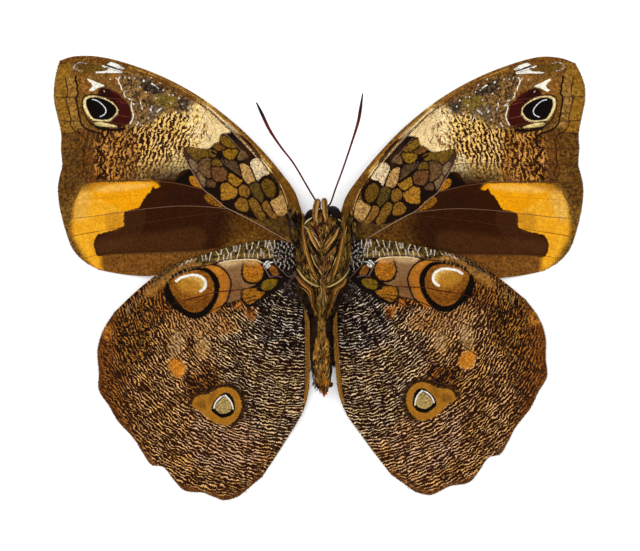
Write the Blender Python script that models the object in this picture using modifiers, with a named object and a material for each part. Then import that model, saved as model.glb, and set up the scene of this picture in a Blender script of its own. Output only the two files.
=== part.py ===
"""A spread butterfly specimen, lying on its back with the underside up.

World frame: metres, +Z up. The surface that it lies on is z = 0, the origin is under the
middle of its outline, the head points to +Y, and left and right are as seen from above.
Every size below is in millimetres and is multiplied by MM where a shape is made.
"""

import math

import bmesh
import bpy
from mathutils import Matrix, Vector

MM = 0.001

# Whole animal
BODY_X = 0.35               # the body's middle plane
GAP = 0.08                  # clearance between neighbouring solids

# Thorax, an ellipsoid cut off flat at the neck and at the waist
THORAX_CENTRE = (0.4, 2.2, 3.95)
THORAX_RADII = (4.1, 9.0, 3.75)
NECK_Y = 8.3
WAIST_Y = -5.6

# Wings: a thin sheet over four edge curves, all drawn for the left side, root outwards
WING_THICKNESS = 0.2
ROOT_RISE = 2.3             # height of the forewing's hinge above the surface
FLAT_FROM = 38.0            # distance from the hinges past which a wing lies flat
HINGE_POINT = (0.4, 4.5)
OVERLAP_RISE = 0.6          # how far the hindwing's leading edge lies above the forewing
OVERLAP_SHARE = 0.34        # share of the hindwing, from its leading edge, that is raised
CAMBER = 0.35               # how far a wing arches between its edges

FORE_LEADING = [
    (-2.5, 8.2), (-3, 11.2), (-3.9, 13.7), (-5.8, 16.4), (-9.1, 20.3), (-13.4, 24.5),
    (-18.9, 28.7), (-24.5, 31.8), (-30, 33.9), (-34.8, 35.1), (-38.8, 35.2), (-41.2, 34.5),
]
FORE_OUTER = [
    (-41.2, 34.5), (-41.7, 32.8), (-42.1, 30.4), (-42.1, 28.1), (-41.6, 25.8), (-41, 23),
    (-41, 20.3), (-40.8, 17.9), (-41.2, 16.2), (-41.5, 14.1), (-41.2, 11.1), (-40.4, 7.9),
    (-39.2, 4.7), (-37.3, 2.6), (-34.8, 1.2),
]
FORE_TRAILING = [
    (-3.3, 5.4), (-9.4, 4.7), (-16.6, 3.1), (-22.9, 1.1), (-26.9, 0.3), (-30.8, 0.5),
    (-34.8, 1.2),
]
HIND_LEADING = [
    (-3.6, 5), (-4.8, 5.5), (-6.6, 6), (-10.2, 5.8), (-14.2, 4.9), (-18.9, 3.6),
    (-23.7, 1.9), (-26.9, -0.3), (-29.7, -2.7), (-32.4, -5.3),
]
HIND_OUTER = [
    (-32.4, -5.3), (-34.3, -8.3), (-35.2, -11.5), (-35, -15), (-35, -17.8), (-33.4, -20.3),
    (-32, -22.7), (-29.4, -25.6), (-28.1, -27.7), (-26.7, -29.6), (-24.7, -30.1),
    (-23.1, -32.1), (-21.3, -33.8), (-18.5, -34.1), (-16.7, -34.8), (-15, -35.3),
    (-12.9, -34.7), (-11.5, -33.6), (-9.1, -31.6),
]
HIND_TRAILING = [
    (-3.9, 1.2), (-3.7, -1.2), (-3.2, -3.1), (-2.5, -4.5), (-1.7, -6.4), (-1.5, -9.1),
    (-1.5, -13.8), (-1.7, -17.9), (-2.7, -21.4), (-4.7, -24.8), (-6.9, -28.3), (-9.1, -31.6),
]

# The right forewing's tip is rounder: the points that take the place of the left one's
RIGHT_TIP_LEADING = [(-38.3, 34.9), (-40.7, 34)]
RIGHT_TIP_OUTER = [(-40.7, 34), (-41.4, 32.6)]

# How the right wings were set, after mirroring the left ones: a turn about the hinge in
# radians, a size factor and a shift
SET_PIVOT = (3.3, 6.0)
FORE_SET = (0.0239, 1.003, (-0.2, -0.9))
HIND_SET = (0.0731, 0.997, (-1.1, -0.3))

FORE_GRID = (18, 14)        # cells from root to outer margin, and across
HIND_GRID = (16, 22)

# Abdomen: distance along the body (Y), middle plane, half width, middle height, half height
ABDOMEN_RINGS = [
    (-5.68, 0.35, 1.55, 3.5, 1.6),
    (-7.5, 0.3, 1.66, 3.2, 1.9),
    (-10.0, 0.3, 1.68, 3.0, 1.95),
    (-12.5, 0.35, 1.75, 2.85, 1.85),
    (-14.6, 0.45, 1.7, 2.65, 1.6),
    (-15.8, 0.6, 1.3, 2.5, 1.25),
    (-16.8, 0.75, 1.0, 2.4, 0.95),
    (-17.8, 0.85, 0.5, 2.3, 0.5),
    (-18.6, 0.9, 0.15, 2.25, 0.15),
]
ABDOMEN_SIDES = 16
CLASPER_CENTRES = [(0.3, -17.2, 2.4), (1.4, -16.9, 2.4)]
CLASPER_RADII = (0.62, 0.4, 0.4)

# Head and eyes
HEAD_CENTRE = (0.45, 9.0, 3.95)
HEAD_RADII = (3.0, 1.95, 1.75)
HEAD_BACK_Y = 8.38
EYES = {
    "eye_left": {"centre": (-1.0, 9.3, 3.85), "radii": (1.38, 1.65, 1.75), "inner_x": -0.12,
                 "back": ((-2.3, 8.5), (-1.1, 9.55))},
    "eye_right": {"centre": (2.1, 9.75, 3.85), "radii": (1.42, 1.7, 1.75), "inner_x": 1.02,
                  "back": ((3.45, 9.0), (1.75, 9.85))},
}

# Tubes: centre line points (X, Y, Z) and a radius for each
PALPS = {
    "palp_left": [((-0.52, 8.75, 6.25), 0.34), ((-0.6, 10.0, 6.3), 0.55),
                  ((-0.52, 11.2, 5.9), 0.52), ((-0.35, 12.0, 5.0), 0.4)],
    "palp_right": [((1.1, 8.95, 6.25), 0.34), ((0.92, 10.1, 6.3), 0.52),
                   ((0.88, 11.3, 5.9), 0.5), ((0.82, 12.1, 5.0), 0.4)],
}
ANTENNAE = {
    "antenna_left": [((0.08, 11.05, 3.5), 0.2), ((-0.62, 12.3, 3.9), 0.12),
                     ((-1.56, 13.86, 4.3), 0.12), ((-4.0, 18.0, 4.9), 0.12),
                     ((-6.1, 20.75, 4.9), 0.13), ((-7.85, 23.4, 4.6), 0.17),
                     ((-9.1, 26.0, 4.2), 0.28), ((-9.97, 27.8, 3.9), 0.12)],
    "antenna_right": [((0.85, 11.05, 3.5), 0.2), ((1.72, 11.75, 3.9), 0.12),
                      ((2.57, 14.1, 4.4), 0.12), ((3.75, 17.3, 4.9), 0.12),
                      ((5.1, 21.3, 4.9), 0.13), ((6.1, 24.5, 4.6), 0.17),
                      ((6.5, 26.6, 4.3), 0.28), ((6.87, 29.2, 3.9), 0.12)],
}
PROBOSCIS_CENTRE = (0.17, 11.55, 5.0)
PROBOSCIS_TURNS = 1.75
PROBOSCIS_RADII = (0.22, 0.72)      # of the coil's centre line, inside and outside
PROBOSCIS_TUBE = 0.1

# Legs, folded on the chest: plan points (X, Y) and radii, laid on the thorax by its formula
LEGS = {
    "foreleg_left": ([(-1.9, 8.0), (-1.1, 6.1), (-0.2, 4.5)], (0.26, 0.3, 0.2)),
    "foreleg_right": ([(2.95, 7.7), (2.4, 6.5), (1.1, 4.8)], (0.26, 0.3, 0.2)),
    "midleg_left": ([(-2.45, 6.9), (-1.9, 3.9), (-1.2, 1.7), (-0.3, -0.3)],
                    (0.34, 0.38, 0.36, 0.26)),
    "midleg_right": ([(3.7, 6.6), (3.2, 3.9), (2.65, 1.7), (2.0, -0.2)],
                     (0.34, 0.38, 0.36, 0.26)),
    "hindleg_left": ([(-3.6, 0.3), (-2.6, -0.9), (-1.5, -1.8), (-1.1, -2.9), (-1.0, -4.2),
                      (-0.2, -6.0)], (0.3, 0.42, 0.42, 0.38, 0.34, 0.2)),
    "hindleg_right": ([(4.3, 0.0), (3.6, -1.1), (2.55, -1.8), (2.2, -2.9), (1.9, -4.3),
                       (1.2, -5.8)], (0.3, 0.42, 0.42, 0.38, 0.34, 0.2)),
}

# Colours (red, green, blue), roughness
FINISHES = {
    "wing_scales": ((0.12, 0.055, 0.012), 0.75),
    "body_hair": ((0.07, 0.04, 0.012), 0.85),
    "leg_scales": ((0.27, 0.11, 0.02), 0.7),
    "palp_scales": ((0.34, 0.2, 0.07), 0.75),
    "antenna_skin": ((0.035, 0.008, 0.004), 0.45),
    "eye_facets": ((0.01, 0.006, 0.004), 0.15),
}


def clear_scene():
    """Remove whatever the file opened with."""
    for ob in list(bpy.data.objects):
        bpy.data.objects.remove(ob)


def new_collection(name):
    """Make a collection in the scene."""
    collection = bpy.data.collections.new(name)
    bpy.context.scene.collection.children.link(collection)
    return collection


def finish_material(name):
    """Return the Principled material of one finish, made once."""
    if name in bpy.data.materials:
        return bpy.data.materials[name]
    colour, roughness = FINISHES[name]
    material = bpy.data.materials.new(name)
    material.use_nodes = True
    shader = material.node_tree.nodes["Principled BSDF"]
    shader.inputs["Base Color"].default_value = (*colour, 1.0)
    shader.inputs["Roughness"].default_value = roughness
    shader.inputs["Metallic"].default_value = 0.0
    return material


def add_mesh_object(name, bm, finish, collection):
    """Turn a bmesh into a smooth-shaded object with its own finish."""
    mesh = bpy.data.meshes.new(name)
    bm.to_mesh(mesh)
    bm.free()
    mesh.shade_smooth()
    mesh.materials.append(finish_material(finish))
    ob = bpy.data.objects.new(name, mesh)
    collection.objects.link(ob)
    return ob


def ellipsoid(centre, radii, segments, rings, pole_axis="Z"):
    """Return a closed ellipsoid as a bmesh in metres."""
    bm = bmesh.new()
    bmesh.ops.create_uvsphere(bm, u_segments=segments, v_segments=rings, radius=1.0)
    if pole_axis == "Y":
        bmesh.ops.rotate(bm, verts=bm.verts, matrix=Matrix.Rotation(math.radians(90), 3, "X"))
    for vert in bm.verts:
        vert.co = Vector([(c + r * v) * MM for c, r, v in zip(centre, radii, vert.co)])
    return bm


def cut_flat(bm, point, outward):
    """Cut a closed bmesh by a plane, drop what lies outward of it and close the cut."""
    geometry = bm.verts[:] + bm.edges[:] + bm.faces[:]
    cut = bmesh.ops.bisect_plane(
        bm, geom=geometry, dist=1e-7, plane_co=Vector(point) * MM,
        plane_no=Vector(outward), clear_outer=True,
    )
    rim = [item for item in cut["geom_cut"] if isinstance(item, bmesh.types.BMEdge)]
    bmesh.ops.contextual_create(bm, geom=rim)
    bmesh.ops.recalc_face_normals(bm, faces=bm.faces)


def thorax_reach(y, z, spare):
    """Half width of the thorax at a place along it and a height, with a spare distance."""
    _, cy, cz = THORAX_CENTRE
    rx, ry, rz = (r + spare for r in THORAX_RADII)
    inside = 1 - ((y - cy) / ry) ** 2 - ((z - cz) / rz) ** 2
    return rx * math.sqrt(max(inside, 0.0))


def thorax_top(x, y, spare):
    """Height of the thorax's upper side at a plan point, with a spare distance."""
    cx, cy, cz = THORAX_CENTRE
    rx, ry, rz = (r + spare for r in THORAX_RADII)
    inside = 1 - ((x - cx) / rx) ** 2 - ((y - cy) / ry) ** 2
    return cz + rz * math.sqrt(max(inside, 0.0))


def curve_point(points, t):
    """Point at 0 to 1 along a Catmull-Rom curve through plan points, even in length."""
    lengths = [0.0]
    for a, b in zip(points, points[1:]):
        lengths.append(lengths[-1] + math.dist(a, b))
    target = t * lengths[-1]
    i = 0
    while i < len(points) - 2 and lengths[i + 1] < target:
        i += 1
    s = (target - lengths[i]) / (lengths[i + 1] - lengths[i])
    before = points[max(i - 1, 0)]
    start, end = points[i], points[i + 1]
    after = points[min(i + 2, len(points) - 1)]
    return tuple(
        0.5 * (2 * b + (c - a) * s + (2 * a - 5 * b + 4 * c - d) * s * s
               + (3 * b - a - 3 * c + d) * s ** 3)
        for a, b, c, d in zip(before, start, end, after)
    )


def smooth_step(t):
    """Ease from 0 to 1."""
    t = min(max(t, 0.0), 1.0)
    return t * t * (3 - 2 * t)


def wing_plan(leading, outer, trailing, u, v):
    """Plan point of a wing at u from root to margin and v from leading to trailing edge."""
    front, back = curve_point(leading, u), curve_point(trailing, u)
    margin = curve_point(outer, v)
    corners = (leading[0], trailing[0], leading[-1], trailing[-1])
    root = tuple(a + (b - a) * v for a, b in zip(corners[0], corners[1]))
    point = []
    for i in range(2):
        ruled_v = front[i] * (1 - v) + back[i] * v
        ruled_u = root[i] * (1 - u) + margin[i] * u
        bilinear = ((corners[0][i] * (1 - v) + corners[1][i] * v) * (1 - u)
                    + (corners[2][i] * (1 - v) + corners[3][i] * v) * u)
        point.append(ruled_v + ruled_u - bilinear)
    return point


def wing_height(x, y, u, v, rise):
    """Height of a wing's lower face: high at the hinges, flat on the surface further out."""
    distance = math.hypot(x - HINGE_POINT[0], y - HINGE_POINT[1])
    slope = ROOT_RISE * (1 - smooth_step((distance - 2.0) / (FLAT_FROM - 2.0)))
    camber = CAMBER * math.sin(math.pi * v) * math.sin(math.pi * min(u, 1.0))
    return slope + camber + rise


def set_right(x, y, setting):
    """Move a mirrored wing's plan point to where the right wing was set."""
    turn, size, shift = setting
    dx, dy = x - SET_PIVOT[0], y - SET_PIVOT[1]
    return (
        SET_PIVOT[0] + shift[0] + size * (dx * math.cos(turn) - dy * math.sin(turn)),
        SET_PIVOT[1] + shift[1] + size * (dx * math.sin(turn) + dy * math.cos(turn)),
    )


def make_wing(name, edges, cells, side, setting, overlapping, collection):
    """Make one wing: a grid moved onto the sheet between its edges, then thickened."""
    leading, outer, trailing = edges
    bm = bmesh.new()
    bmesh.ops.create_grid(bm, x_segments=cells[0], y_segments=cells[1], size=1.0)
    for vert in bm.verts:
        u, v = (vert.co.x + 1) / 2, (1 - vert.co.y) / 2
        x, y = wing_plan(leading, outer, trailing, u, v)
        if side == "right":
            x, y = set_right(2 * BODY_X - x, y, setting)
        rise = OVERLAP_RISE * smooth_step(1 - v / OVERLAP_SHARE) if overlapping else 0.0
        z = wing_height(x, y, u, v, rise)
        vert.co = Vector((x, y, z)) * MM
    keep_off_thorax(bm, side)
    bmesh.ops.recalc_face_normals(bm, faces=bm.faces)
    if bm.faces[0].normal.z < 0:
        bmesh.ops.reverse_faces(bm, faces=bm.faces)
    ob = add_mesh_object(name, bm, "wing_scales", collection)
    skin = ob.modifiers.new("wing_thickness", "SOLIDIFY")
    skin.thickness = WING_THICKNESS * MM
    skin.offset = 1.0
    return ob


def keep_off_thorax(bm, side):
    """Slide the wing's points that would lie in the thorax out to its side wall."""
    sign = -1 if side == "left" else 1
    for vert in bm.verts:
        x, y, z = (c / MM for c in vert.co)
        if y > NECK_Y:
            continue
        wall = THORAX_CENTRE[0] + sign * thorax_reach(y, z + WING_THICKNESS, 2 * GAP)
        if sign * (x - wall) < 0:
            vert.co.x = wall * MM


def make_wings(collection):
    """Make the four wings, the hindwings lying over the forewings' trailing edges."""
    round_leading = FORE_LEADING[:-2] + RIGHT_TIP_LEADING
    round_outer = RIGHT_TIP_OUTER + FORE_OUTER[2:]
    fore = {
        "left": (FORE_LEADING, FORE_OUTER, FORE_TRAILING),
        "right": (round_leading, round_outer, FORE_TRAILING),
    }
    hind = (HIND_LEADING, HIND_OUTER, HIND_TRAILING)
    for side in ("left", "right"):
        make_wing(f"forewing_{side}", fore[side], FORE_GRID, side, FORE_SET, False, collection)
        make_wing(f"hindwing_{side}", hind, HIND_GRID, side, HIND_SET, True, collection)


def make_thorax(collection):
    """Make the thorax with its flat neck and waist."""
    bm = ellipsoid(THORAX_CENTRE, THORAX_RADII, 22, 16, pole_axis="Y")
    cut_flat(bm, (0, NECK_Y, 0), (0, 1, 0))
    cut_flat(bm, (0, WAIST_Y, 0), (0, -1, 0))
    return add_mesh_object("thorax", bm, "body_hair", collection)


def make_abdomen(collection):
    """Make the abdomen: rings bridged along the body, with two clasper lobes at its tip."""
    bm = bmesh.new()
    rings = []
    for y, x, half_width, z, half_height in ABDOMEN_RINGS:
        ring = []
        for i in range(ABDOMEN_SIDES):
            angle = 2 * math.pi * i / ABDOMEN_SIDES
            place = (x + half_width * math.cos(angle), y, z + half_height * math.sin(angle))
            ring.append(bm.verts.new(Vector(place) * MM))
        rings.append(ring)
    for near, far in zip(rings, rings[1:]):
        for i in range(ABDOMEN_SIDES):
            j = (i + 1) % ABDOMEN_SIDES
            bm.faces.new((near[i], near[j], far[j], far[i]))
    bm.faces.new(rings[0])
    bm.faces.new(rings[-1])
    bmesh.ops.recalc_face_normals(bm, faces=bm.faces)
    abdomen = add_mesh_object("abdomen", bm, "body_hair", collection)
    for i, centre in enumerate(CLASPER_CENTRES):
        lobe = ellipsoid(centre, CLASPER_RADII, 10, 8)
        cutter = add_mesh_object(f"clasper_form_{i}", lobe, "body_hair", FORMS)
        cutter.hide_render = True
        cutter.display_type = "WIRE"
        union = abdomen.modifiers.new(f"clasper_{i}", "BOOLEAN")
        union.operation = "UNION"
        union.solver = "EXACT"
        union.object = cutter
    return abdomen


def eye_shape(spec, spare):
    """Return one eye as a bmesh: an ellipsoid cut flat on its inner and rear sides."""
    radii = tuple(r + spare for r in spec["radii"])
    bm = ellipsoid(spec["centre"], radii, 16, 10)
    inward = math.copysign(1.0, BODY_X - spec["centre"][0])
    cut_flat(bm, (spec["inner_x"] + inward * spare, 0, 0), (inward, 0, 0))
    (x0, y0), (x1, y1) = spec["back"]
    across = Vector((y1 - y0, x0 - x1, 0)).normalized()
    if across.y > 0:
        across.negate()
    cut_flat(bm, Vector((x0, y0, 0)) + across * spare, across)
    return bm


def make_head_and_eyes(collection):
    """Make the head with a socket for each eye, and the two eyes."""
    bm = ellipsoid(HEAD_CENTRE, HEAD_RADII, 20, 12)
    cut_flat(bm, (0, HEAD_BACK_Y, 0), (0, -1, 0))
    head = add_mesh_object("head", bm, "body_hair", collection)
    for name, spec in EYES.items():
        add_mesh_object(name, eye_shape(spec, 0.0), "eye_facets", collection)
        cutter = add_mesh_object(f"{name}_socket", eye_shape(spec, GAP), "body_hair", FORMS)
        cutter.hide_render = True
        cutter.display_type = "WIRE"
        socket = head.modifiers.new(f"{name}_socket", "BOOLEAN")
        socket.operation = "DIFFERENCE"
        socket.solver = "EXACT"
        socket.object = cutter
    return head


def make_tube(name, points, radii, finish, collection, kind="BEZIER"):
    """Make a tapering tube along points in millimetres, with closed ends."""
    curve = bpy.data.curves.new(name, "CURVE")
    curve.dimensions = "3D"
    curve.resolution_u = 3
    curve.bevel_depth = MM
    curve.bevel_resolution = 2
    curve.use_fill_caps = True
    spline = curve.splines.new(kind)
    if kind == "BEZIER":
        spline.bezier_points.add(len(points) - 1)
        for knot, place, radius in zip(spline.bezier_points, points, radii):
            knot.co = Vector(place) * MM
            knot.radius = radius
            knot.handle_left_type = "AUTO"
            knot.handle_right_type = "AUTO"
    else:
        spline.points.add(len(points) - 1)
        for knot, place, radius in zip(spline.points, points, radii):
            knot.co = (*(Vector(place) * MM), 1.0)
            knot.radius = radius
    curve.materials.append(finish_material(finish))
    ob = bpy.data.objects.new(name, curve)
    collection.objects.link(ob)
    return ob


def make_palps_and_antennae(collection):
    """Make the furry palps and the clubbed antennae."""
    for name, knots in PALPS.items():
        points, radii = zip(*knots)
        make_tube(name, points, radii, "palp_scales", collection)
    for name, knots in ANTENNAE.items():
        points, radii = zip(*knots)
        make_tube(name, points, radii, "antenna_skin", collection)


def make_proboscis(collection):
    """Make the tongue, coiled flat between the palps."""
    steps = 18
    inner, outer = PROBOSCIS_RADII
    points = []
    for i in range(steps + 1):
        t = i / steps
        radius = inner + (outer - inner) * t
        angle = 2 * math.pi * PROBOSCIS_TURNS * t
        points.append((
            PROBOSCIS_CENTRE[0],
            PROBOSCIS_CENTRE[1] + radius * math.cos(angle),
            PROBOSCIS_CENTRE[2] + radius * math.sin(angle),
        ))
    radii = [PROBOSCIS_TUBE] * len(points)
    return make_tube("proboscis", points, radii, "antenna_skin", collection, kind="POLY")


def make_legs(collection):
    """Make the six legs, folded and resting on the chest."""
    for name, (plan, radii) in LEGS.items():
        points = [
            (x, y, thorax_top(x, y, radius + GAP)) for (x, y), radius in zip(plan, radii)
        ]
        make_tube(name, points, radii, "leg_scales", collection)


clear_scene()
SPECIMEN = new_collection("butterfly_specimen")
FORMS = new_collection("forming_shapes")
make_wings(SPECIMEN)
make_thorax(SPECIMEN)
make_abdomen(SPECIMEN)
make_head_and_eyes(SPECIMEN)
make_palps_and_antennae(SPECIMEN)
make_proboscis(SPECIMEN)
make_legs(SPECIMEN)
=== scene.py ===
# %% [markdown]
# # A set butterfly, lying with its underside up
# This lesson dresses a dried, spread butterfly. The CAD model gives the plain solids, and each
# of them gets its real surface here: wings covered with coloured scales, veins, fringes, hair,
# furry palps, ringed antennae and faceted eyes.

# %% Load the frame
import math

import bpy
import numpy as np
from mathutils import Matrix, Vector
from mathutils.bvhtree import BVHTree


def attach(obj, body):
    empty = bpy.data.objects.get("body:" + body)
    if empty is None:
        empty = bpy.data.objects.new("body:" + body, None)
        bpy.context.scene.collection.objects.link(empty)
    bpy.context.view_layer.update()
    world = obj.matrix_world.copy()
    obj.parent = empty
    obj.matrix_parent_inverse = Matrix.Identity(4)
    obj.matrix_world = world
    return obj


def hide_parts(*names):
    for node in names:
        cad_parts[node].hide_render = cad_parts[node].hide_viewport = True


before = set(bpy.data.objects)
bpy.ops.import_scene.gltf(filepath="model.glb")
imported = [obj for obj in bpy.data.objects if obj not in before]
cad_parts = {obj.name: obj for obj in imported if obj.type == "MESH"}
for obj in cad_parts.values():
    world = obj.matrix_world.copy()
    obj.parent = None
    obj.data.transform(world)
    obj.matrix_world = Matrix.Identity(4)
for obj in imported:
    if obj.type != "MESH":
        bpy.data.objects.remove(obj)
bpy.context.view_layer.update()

MM = 0.001
BODY = "root"
scene = bpy.context.scene
print("CAD nodes:", ", ".join(sorted(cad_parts)))

# %% [markdown]
# ## Measures
# The drawing was measured on a flat plan at 6.3 units to the millimetre. The marks of the
# wings are kept in those drawing units, because that is how a painter would copy them, and
# the solids are in millimetres. Only the left wings were measured; the right ones are their
# mirror image, turned a little as the specimen was set.

# %% Drawing units and the mirrored side
DRAWING_SCALE = 6.3
DRAWING_ORIGIN = (319.3, 277.8)
BODY_X = 0.35
SET_PIVOT = (3.3, 6.0)
FORE_SET = (0.0239, 1.003, (-0.2, -0.9))
HIND_SET = (0.0731, 0.997, (-1.1, -0.3))
rng = np.random.default_rng(7)


def to_drawing(plan):
    """Millimetres on the left wings to drawing units."""
    return np.column_stack((DRAWING_ORIGIN[0] + DRAWING_SCALE * plan[:, 0],
                            DRAWING_ORIGIN[1] - DRAWING_SCALE * plan[:, 1]))


def from_drawing(points):
    """Drawing units to millimetres."""
    points = np.array(points, float)
    return np.column_stack(((points[:, 0] - DRAWING_ORIGIN[0]) / DRAWING_SCALE,
                            (DRAWING_ORIGIN[1] - points[:, 1]) / DRAWING_SCALE))


def to_right(plan, setting):
    """Mirror left plan points and set them as the right wing is set."""
    turn, size, shift = setting
    dx, dy = 2 * BODY_X - plan[:, 0] - SET_PIVOT[0], plan[:, 1] - SET_PIVOT[1]
    c, s = math.cos(turn), math.sin(turn)
    return np.column_stack((SET_PIVOT[0] + shift[0] + size * (dx * c - dy * s),
                            SET_PIVOT[1] + shift[1] + size * (dx * s + dy * c)))


def linear(rgb):
    """A colour given as 0 to 255 screen values, as the linear light a shader needs."""
    c = np.array(rgb, float) / 255
    return np.where(c <= 0.04045, c / 12.92, ((c + 0.055) / 1.055) ** 2.4)


print("one drawing unit is", round(1 / DRAWING_SCALE, 3), "mm")

# %% [markdown]
# Hundreds of marks are easier to read as tables than as nested brackets. In a table each line is
# one mark: its numbers and colours, a colon, and then the places that its outline or line passes.
# A colour is written as the hex code that a colour picker shows.

# %% Tables of places and marks
PAINTS = {"black": (14, 7, 4), "ink": (30, 14, 7), "maroon": (60, 14, 9),
          "cream": (236, 206, 148), "white": (244, 240, 230), "pale_vein": (178, 144, 124)}


def entry(word):
    """A named paint, a colour's hex code, a number, or a place written with commas."""
    if word in PAINTS:
        return PAINTS[word]
    if word[0] == "#":
        return tuple(bytes.fromhex(word[1:]))
    numbers = tuple(map(float, word.split(",")))
    return numbers if len(numbers) > 1 else numbers[0]


def places_in(text):
    """The places of a text: x,y x,y and so on."""
    return [entry(word) for word in text.split()]


def rows_in(text):
    """The marks of a table. A line that starts with a space goes on with the one above."""
    found = []
    for row in text.replace("\n ", " ").strip().split("\n"):
        head, _, places = row.rpartition(":")
        found.append((*places_in(head), places_in(places)))
    return found


print("named paints:", ", ".join(PAINTS))

# %% [markdown]
# ## The wing sheets
# A wing is a membrane with four edges. It could be traced as one flat outline, but then its
# marks and its arch would have nothing to follow. A grid primitive is moved onto the sheet
# between the four edge curves instead, the same curves as in the CAD, and a Solidify modifier
# gives it its thickness. The grid is fine, because each of its points also carries paint.

# %% Edge curves of the wings, in millimetres, from the root outwards
FORE_LEADING = places_in("""
-1.9,7.9 -3,11.2 -3.9,13.7 -5.8,16.4 -9.1,20.3 -13.4,24.5 -18.9,28.7 -24.5,31.8 -30,33.9
-34.8,35.1 -38.8,35.2 -41.2,34.5
""")
FORE_OUTER = places_in("""
-41.2,34.5 -41.7,32.8 -42.1,30.4 -42.1,28.1 -41.6,25.8 -41,23 -41,20.3 -40.8,17.9 -41.2,16.2
-41.5,14.1 -41.2,11.1 -40.4,7.9 -39.2,4.7 -37.3,2.6 -34.8,1.2
""")
FORE_TRAILING = places_in("""
-2.6,5.4 -9.4,4.7 -16.6,3.1 -22.9,1.1 -26.9,.3 -30.8,.5 -34.8,1.2
""")
HIND_LEADING = places_in("""
-3.1,5 -4.8,5.5 -6.6,6 -10.2,5.8 -14.2,4.9 -18.9,3.6 -23.7,1.9 -26.9,-.3 -29.7,-2.7 -32.4,-5.3
""")
HIND_OUTER = places_in("""
-32.4,-5.3 -34.3,-8.3 -35.2,-11.5 -35,-15 -35,-17.8 -33.4,-20.3 -32,-22.7 -29.4,-25.6 -28.1,-27.7
-26.7,-29.6 -24.7,-30.1 -23.1,-32.1 -21.3,-33.8 -18.5,-34.1 -16.7,-34.8 -15,-35.3 -12.9,-34.7
-11.5,-33.6 -9.1,-31.6
""")
HIND_TRAILING = places_in("""
-3.4,1.2 -3.4,-1.2 -3.1,-3.1 -2.5,-4.5 -1.7,-6.4 -1.5,-9.1 -1.5,-13.8 -1.7,-17.9 -2.7,-21.4
-4.7,-24.8 -6.9,-28.3 -9.1,-31.6
""")
RIGHT_TIP_LEADING = [(-38.3, 34.9), (-40.7, 34)]
RIGHT_TIP_OUTER = [(-40.7, 34), (-41.4, 32.6)]
FORE_EDGES = {
    "left": (FORE_LEADING, FORE_OUTER, FORE_TRAILING),
    "right": (FORE_LEADING[:-2] + RIGHT_TIP_LEADING, RIGHT_TIP_OUTER + FORE_OUTER[2:],
              FORE_TRAILING),
}
HIND_EDGES = {side: (HIND_LEADING, HIND_OUTER, HIND_TRAILING) for side in ("left", "right")}

ROOT_RISE = 2.3
FLAT_FROM = 38.0
HINGE_POINT = (0.4, 4.5)
OVERLAP_RISE = 0.6
OVERLAP_SHARE = 0.34
CAMBER = 0.35
SHEET_TOP = 0.15            # of the membrane's upper face, above the CAD sheet's lower face
MEMBRANE = 0.1
FORE_GRID = ((258, 180))
HIND_GRID = ((200, 232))
print("forewing grid", FORE_GRID, "hindwing grid", HIND_GRID)

# %% [markdown]
# All curves here pass smoothly through their places, as a bent batten does. A sheet is filled
# between its edge curves, so that its rows run from root to margin, as the veins do.


# %% Curves, sheets and mesh attributes
def batten(a, b, c, d, s):
    """The smooth curve from b to c at s from 0 to 1, with a before it and d after it."""
    return 0.5 * (2 * b + (c - a) * s + (2 * a - 5 * b + 4 * c - d) * s ** 2
                  + (3 * b - a - 3 * c + d) * s ** 3)


def along(points, t):
    """Points at 0 to 1 along a smooth curve, even in length."""
    p = np.array(points, float)
    lengths = np.concatenate(([0.0], np.cumsum(np.hypot(*np.diff(p, axis=0).T))))
    target = np.asarray(t) * lengths[-1]
    i = np.clip(np.searchsorted(lengths, target) - 1, 0, len(p) - 2)
    s = ((target - lengths[i]) / (lengths[i + 1] - lengths[i]))[:, None]
    return batten(p[np.maximum(i - 1, 0)], p[i], p[i + 1], p[np.minimum(i + 2, len(p) - 1)], s)


def smooth_step(t):
    """Ease from 0 to 1."""
    t = np.clip(t, 0, 1)
    return t * t * (3 - 2 * t)


def wing_plan(edges, u, v):
    """Plan points of a wing at u from root to margin and v from leading to trailing edge."""
    leading, outer, trailing = edges
    front, back, margin = along(leading, u), along(trailing, u), along(outer, v)
    c = [np.array(corner) for corner in (leading[0], trailing[0], leading[-1], trailing[-1])]
    u, v = u[:, None], v[:, None]
    root = c[0] + (c[1] - c[0]) * v
    bilinear = (c[0] * (1 - v) + c[1] * v) * (1 - u) + (c[2] * (1 - v) + c[3] * v) * u
    return front * (1 - v) + back * v + root * (1 - u) + margin * u - bilinear


def deselect_all():
    """Leave nothing selected, so that an operator acts only on the piece in hand."""
    bpy.ops.object.select_all(action="DESELECT")


def take_up(ob):
    """Select one object alone and make it the active one."""
    deselect_all()
    ob.select_set(True)
    bpy.context.view_layer.objects.active = ob


def put_attribute(mesh, name, values):
    """Store a number, a way or a colour for every point of a mesh."""
    kind, field = "FLOAT_COLOR", "color"
    if values.ndim == 1:
        kind, field = "FLOAT", "value"
    elif name.endswith("_way"):
        kind, field = "FLOAT_VECTOR", "vector"
    else:
        values = np.column_stack((values, np.ones(len(values))))
    mesh.attributes.new(name, kind, "POINT").data.foreach_set(field, values.ravel())


def coordinates(mesh):
    """All points of a mesh as an array."""
    flat = np.empty(len(mesh.vertices) * 3)
    mesh.vertices.foreach_get("co", flat)
    return flat.reshape(-1, 3)


def move_points(mesh, places):
    """Put every point of a mesh at its new place."""
    mesh.vertices.foreach_set("co", np.asarray(places, float).ravel())
    mesh.update()


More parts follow.
